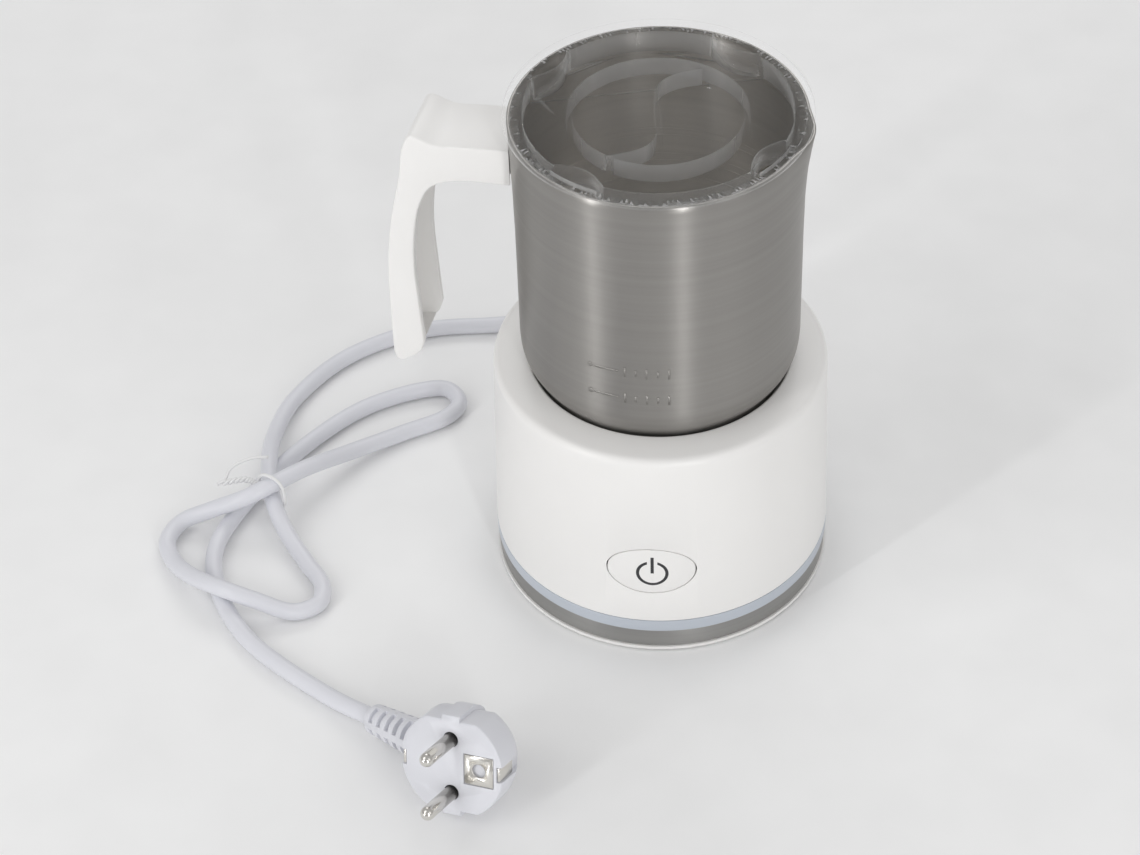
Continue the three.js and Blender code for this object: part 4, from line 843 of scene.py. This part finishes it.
# ---- Jug -----------------------------------------------------------------------------------------

jug_low, jug_high = node_box("jug_body")
JUG_BOTTOM = jug_low.z / MM
JUG_TOP = jug_high.z / MM
JUG_WALL = 0.8


def smooth_outline(points, per_span=5):
    return [(p.x, p.y) for p in catmull([(x, y, 0) for x, y in points], per_span)]


def make_jug():
    z = JUG_BOTTOM
    heel = smooth_outline([(37, z), (39.3, z + 0.5), (41.7, z + 2.6), (42.6, z + 5.6), (44.2, z + 9.2),
                           (45.9, z + 12.2), (47, z + 15.1), (47.55, z + 19.5), (47.6, z + 26)])
    wall = [(47.6, JUG_TOP - 45), (47.8, JUG_TOP - 30), (48.0, JUG_TOP - 22), (48.1, JUG_TOP - 15),
            (48.4, JUG_TOP - 8), (48.6, JUG_TOP - 3), (48.75, JUG_TOP - 0.4), (48.4, JUG_TOP)]
    outer = heel + [(47.6, z + h) for h in (32, 40, 48, 56)] + wall
    inner = [(radius - JUG_WALL, max(height, JUG_BOTTOM + JUG_WALL)) for radius, height in outer[1:]]
    profile = [(0, z)] + outer + inner[::-1] + [(37, z + JUG_WALL), (0, z + JUG_WALL)]
    jug = lathe("jug_shell", profile, jug_steel, 240)
    for vertex in jug.data.vertices:
        radius = math.hypot(vertex.co.x, vertex.co.y)
        turn = math.atan2(vertex.co.y, vertex.co.x) - math.radians(-10)
        off = abs(math.atan2(math.sin(turn), math.cos(turn))) / math.radians(19)
        rise = (vertex.co.z / MM - (JUG_TOP - 30)) / 30
        if off >= 1 or rise <= 0 or radius < 0.04:
            continue
        push = 2.3 * MM * rise ** 1.6 * math.cos(off * math.pi / 2) ** 2
        vertex.co.x *= 1 + push / radius
        vertex.co.y *= 1 + push / radius
    recalculate(jug)
    # Inner faces take the lighter copy of the steel: painted light inside the jug.
    jug.data.materials.append(jug_inside_painted_light)
    for polygon in jug.data.polygons:
        outward = Vector((polygon.center.x, polygon.center.y, 0))
        inside = polygon.normal.dot(outward) < 0 if outward.length > 0.02 else polygon.normal.z > 0
        polygon.material_index = 1 if inside and polygon.center.z < (JUG_TOP - 0.5) * MM else 0
    jug.data.shade_smooth()
    return jug


jug = make_jug()
hand_over(jug, "jug", "jug_body")


def level_mark(name, z, ticks):
    """A raised line on the jug's wall with a dot at its start and a row of short upright strokes."""
    surface = 47.6
    parts = [arc_block(surface - 0.3, surface + 0.16, z - 0.35, z + 0.35, -115, -103.3, 12)]
    dot = lathe("dot", [(0, -0.5), (0.9, -0.5), (0.9, 0.2), (0.5, 0.3), (0, 0.3)], None, 20)
    angle = math.radians(-115)
    lay = Matrix.Rotation(angle, 4, "Z") @ Matrix.Translation((surface * MM, 0, z * MM))
    parts.append(move(dot, lay @ Matrix.Rotation(math.pi / 2, 4, "Y")))
    for i in range(ticks):
        start = -101 + i * 4.4
        tall = 2.0 if i % 2 == 0 else 1.2
        parts.append(arc_block(surface - 0.3, surface + 0.16, z - tall, z + tall, start, start + 0.9, 2))
    for part in parts:
        recalculate(part)
        part.data.materials.clear()
        part.data.materials.append(jug_steel)
    mark = join(name, parts)
    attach(mark, "jug")


level_mark("upper_level_mark", 118.5, 5)
level_mark("lower_level_mark", 107.3, 5)


# ---- Handle --------------------------------------------------------------------------------------

WIDTH = 24.6
WALL = 2.2


def handle_back(inset):
    points = [(41.6, 174.4 - inset), (62, 173.1 - inset), (72, 172.4 - inset),
              (80.5 - inset * 0.6, 174.7 - inset * 1.6), (83.4 - inset, 169.5 - inset * 0.5),
              (85.4 - inset, 157), (89.6 - inset, 137), (91.8 - inset, 118),
              (92.3 - inset, 97), (92.3 - inset, 80)]
    return smooth_outline(points, 6)


def side_block(outline, width):
    block = extrude("handle_part", outline, -width / 2, width / 2)
    return move(block, Matrix.Rotation(math.pi / 2, 4, "X"))


def make_handle():
    front = smooth_outline([(80.8, 86), (81.6, 103), (82.2, 120), (81.2, 134), (78.8, 146), (74.4, 154.4),
                            (67, 158.1), (41.6, 160.1)], 6)
    foot = smooth_outline([(91.5, 76.6), (89.3, 76), (84.5, 79.2), (82, 82)], 3)
    handle = side_block(handle_back(0) + foot + front, WIDTH)
    recalculate(handle)
    soften(handle, 1.6, 4, 50)
    hollow = side_block(handle_back(WALL) + [(90.1, 79.2), (70, 82.7), (70, 120), (60, 140), (41.6, 150)],
                        WIDTH - 2 * WALL)
    space = lathe("space", [(0, 100), (48.55, 100), (48.55, 200), (0, 200)], None, 200)
    combine(handle, [hollow, space], "DIFFERENCE")
    soften(handle, 0.35, 2, 60)
    boss = lathe("boss", [(0, 166.2), (3.4, 166.2), (3.4, 172.2), (0, 172.2)], None, 32)
    hole = lathe("hole", [(0, 160), (1.6, 160), (1.6, 169), (0, 169)], None, 24)
    for part in (boss, hole):
        move(part, Matrix.Translation((0.06, 0, 0)))
    combine(handle, [boss], "UNION")
    combine(handle, [hole], "DIFFERENCE")
    handle.name = "jug_handle"
    handle.data.materials.clear()
    handle.data.materials.append(white_plastic)
    handle.data.shade_smooth()
    return move(handle, Matrix.Rotation(math.radians(170), 4, "Z"))


handle = make_handle()
hand_over(handle, "jug", "handle")


# ---- Whisk ---------------------------------------------------------------------------------------

def make_whisk():
    low, high = node_box("whisk_ring")
    height = (low.z + high.z) / 2
    ring_line = []
    coils = 46
    for i in range(coils * 12 + 1):
        turn = 2 * math.pi * i / (coils * 12)
        twist = 2 * math.pi * i / 12
        radius = 0.0155 + 0.0012 * math.cos(twist)
        ring_line.append(Vector((radius * math.cos(turn), radius * math.sin(turn),
                                 height + 0.0012 * math.sin(twist))))
    spring = tube("whisk_spring", ring_line, 0.00038, nickel, 8)
    parts = [spring]
    for angle in (0, 120, 240):
        turn = math.radians(angle)
        heading = Vector((math.cos(turn), math.sin(turn), 0))
        line = [heading * r + Vector((0, 0, height)) for r in (0.0048, 0.009, 0.0152)]
        parts.append(tube("spoke", line, 0.0007, nickel, 10))
    low_edge, high_edge = height / MM - 1.2, height / MM + 1.2
    section = [(4.5, low_edge), (5.6, low_edge), (5.6, high_edge), (4.5, high_edge)]
    collar = lathe("collar", rounded(section, [0.2] * 4, 2), nickel, 48)
    recalculate(collar)
    parts.append(collar)
    return join("whisk_spring_ring", parts)


whisk = make_whisk()
hand_over(whisk, "whisk", "whisk_ring")
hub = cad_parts["whisk_hub"].data
hub.materials.clear()
hub.materials.append(inner_plastic)


# ---- Lid -----------------------------------------------------------------------------------------

lid_high = node_box("lid")[1]
FLANGE_TOP = lid_high.z / MM - 0.4
FLANGE_LOW = FLANGE_TOP - 1.7
LID_FLOOR = FLANGE_TOP - 8
LID_R = 50.15
LID_RIM_BAND = 4
SKIRT_R = 45.2
SCALLOP_DEPTH = 4.8
SCALLOP_HALF_ANGLE = 13


def skirt_radius(angle, inset):
    away = abs(((angle - 45) % 90 + 135) % 90 - 45) / SCALLOP_HALF_ANGLE
    dip = SCALLOP_DEPTH * math.cos(away * math.pi / 2) ** 0.8 if away < 1 else 0
    return SKIRT_R - dip - inset


def polar(radius, angle):
    return radius * math.cos(math.radians(angle)), radius * math.sin(math.radians(angle))


def skirt_ring(inset):
    return [polar(skirt_radius(angle, inset), angle) for angle in range(0, 360, 1)]


def make_lid():
    profile = [(0, FLANGE_LOW), (LID_R, FLANGE_LOW), (LID_R, FLANGE_TOP), (0, FLANGE_TOP)]
    rim = lathe("clear_lid", rounded(profile, [0, 0.5, 0.5, 0], 3), clear_plastic, 200, closed=False)
    recalculate(rim)
    well = extrude("well", skirt_ring(1.5), FLANGE_LOW - 1, FLANGE_TOP + 1)
    slots = []
    for middle in (45, 135, 225, 315):
        inner = [polar(skirt_radius(middle + a, 0), middle + a) for a in range(-12, 13)]
        outer = [polar(LID_R - LID_RIM_BAND, middle + a) for a in range(12, -13, -2)]
        slots.append(extrude("slot", inner + outer, FLANGE_LOW - 1, FLANGE_TOP + 1))
    combine(rim, [well, *slots], "DIFFERENCE")
    cup = extrude("cup", skirt_ring(0), LID_FLOOR - 1.7, FLANGE_TOP - 0.2)
    hollow = extrude("hollow", skirt_ring(1.5), LID_FLOOR, FLANGE_TOP + 1)
    recalculate(cup)
    combine(cup, [hollow], "DIFFERENCE")
    grip = lathe("grip", [(27.7, LID_FLOOR - 0.2), (29.6, LID_FLOOR - 0.2), (29.6, LID_FLOOR + 6.7),
                          (27.7, LID_FLOOR + 6.7)], None, 128)
    combine(rim, [cup, grip, make_divider()], "UNION")
    soften(rim, 0.3, 2, 40)
    rim.data.materials.clear()
    rim.data.materials.append(clear_plastic)
    for polygon in rim.data.polygons:
        polygon.material_index = 0
    return move(rim, Matrix.Rotation(math.radians(12.5), 4, "Z"))


def make_divider():
    reach = 28.65
    count = 60
    left, right = [], []
    for i in range(count + 1):
        along = -reach + 2 * reach * i / count
        sway = 8.2 * math.sin(math.pi * along / reach)
        slope = 8.2 * math.pi / reach * math.cos(math.pi * along / reach)
        length = math.hypot(1, slope)
        for side, line in ((-1, left), (1, right)):
            half = side * 0.95
            line.append((along - half * slope / length, sway + half / length))
    wall = extrude("divider", left + right[::-1], LID_FLOOR - 0.2, LID_FLOOR + 6.4)
    return move(wall, Matrix.Rotation(math.pi / 4, 4, "Z"))


lid = make_lid()
hand_over(lid, "lid", "lid")

add_camera()
add_surroundings()
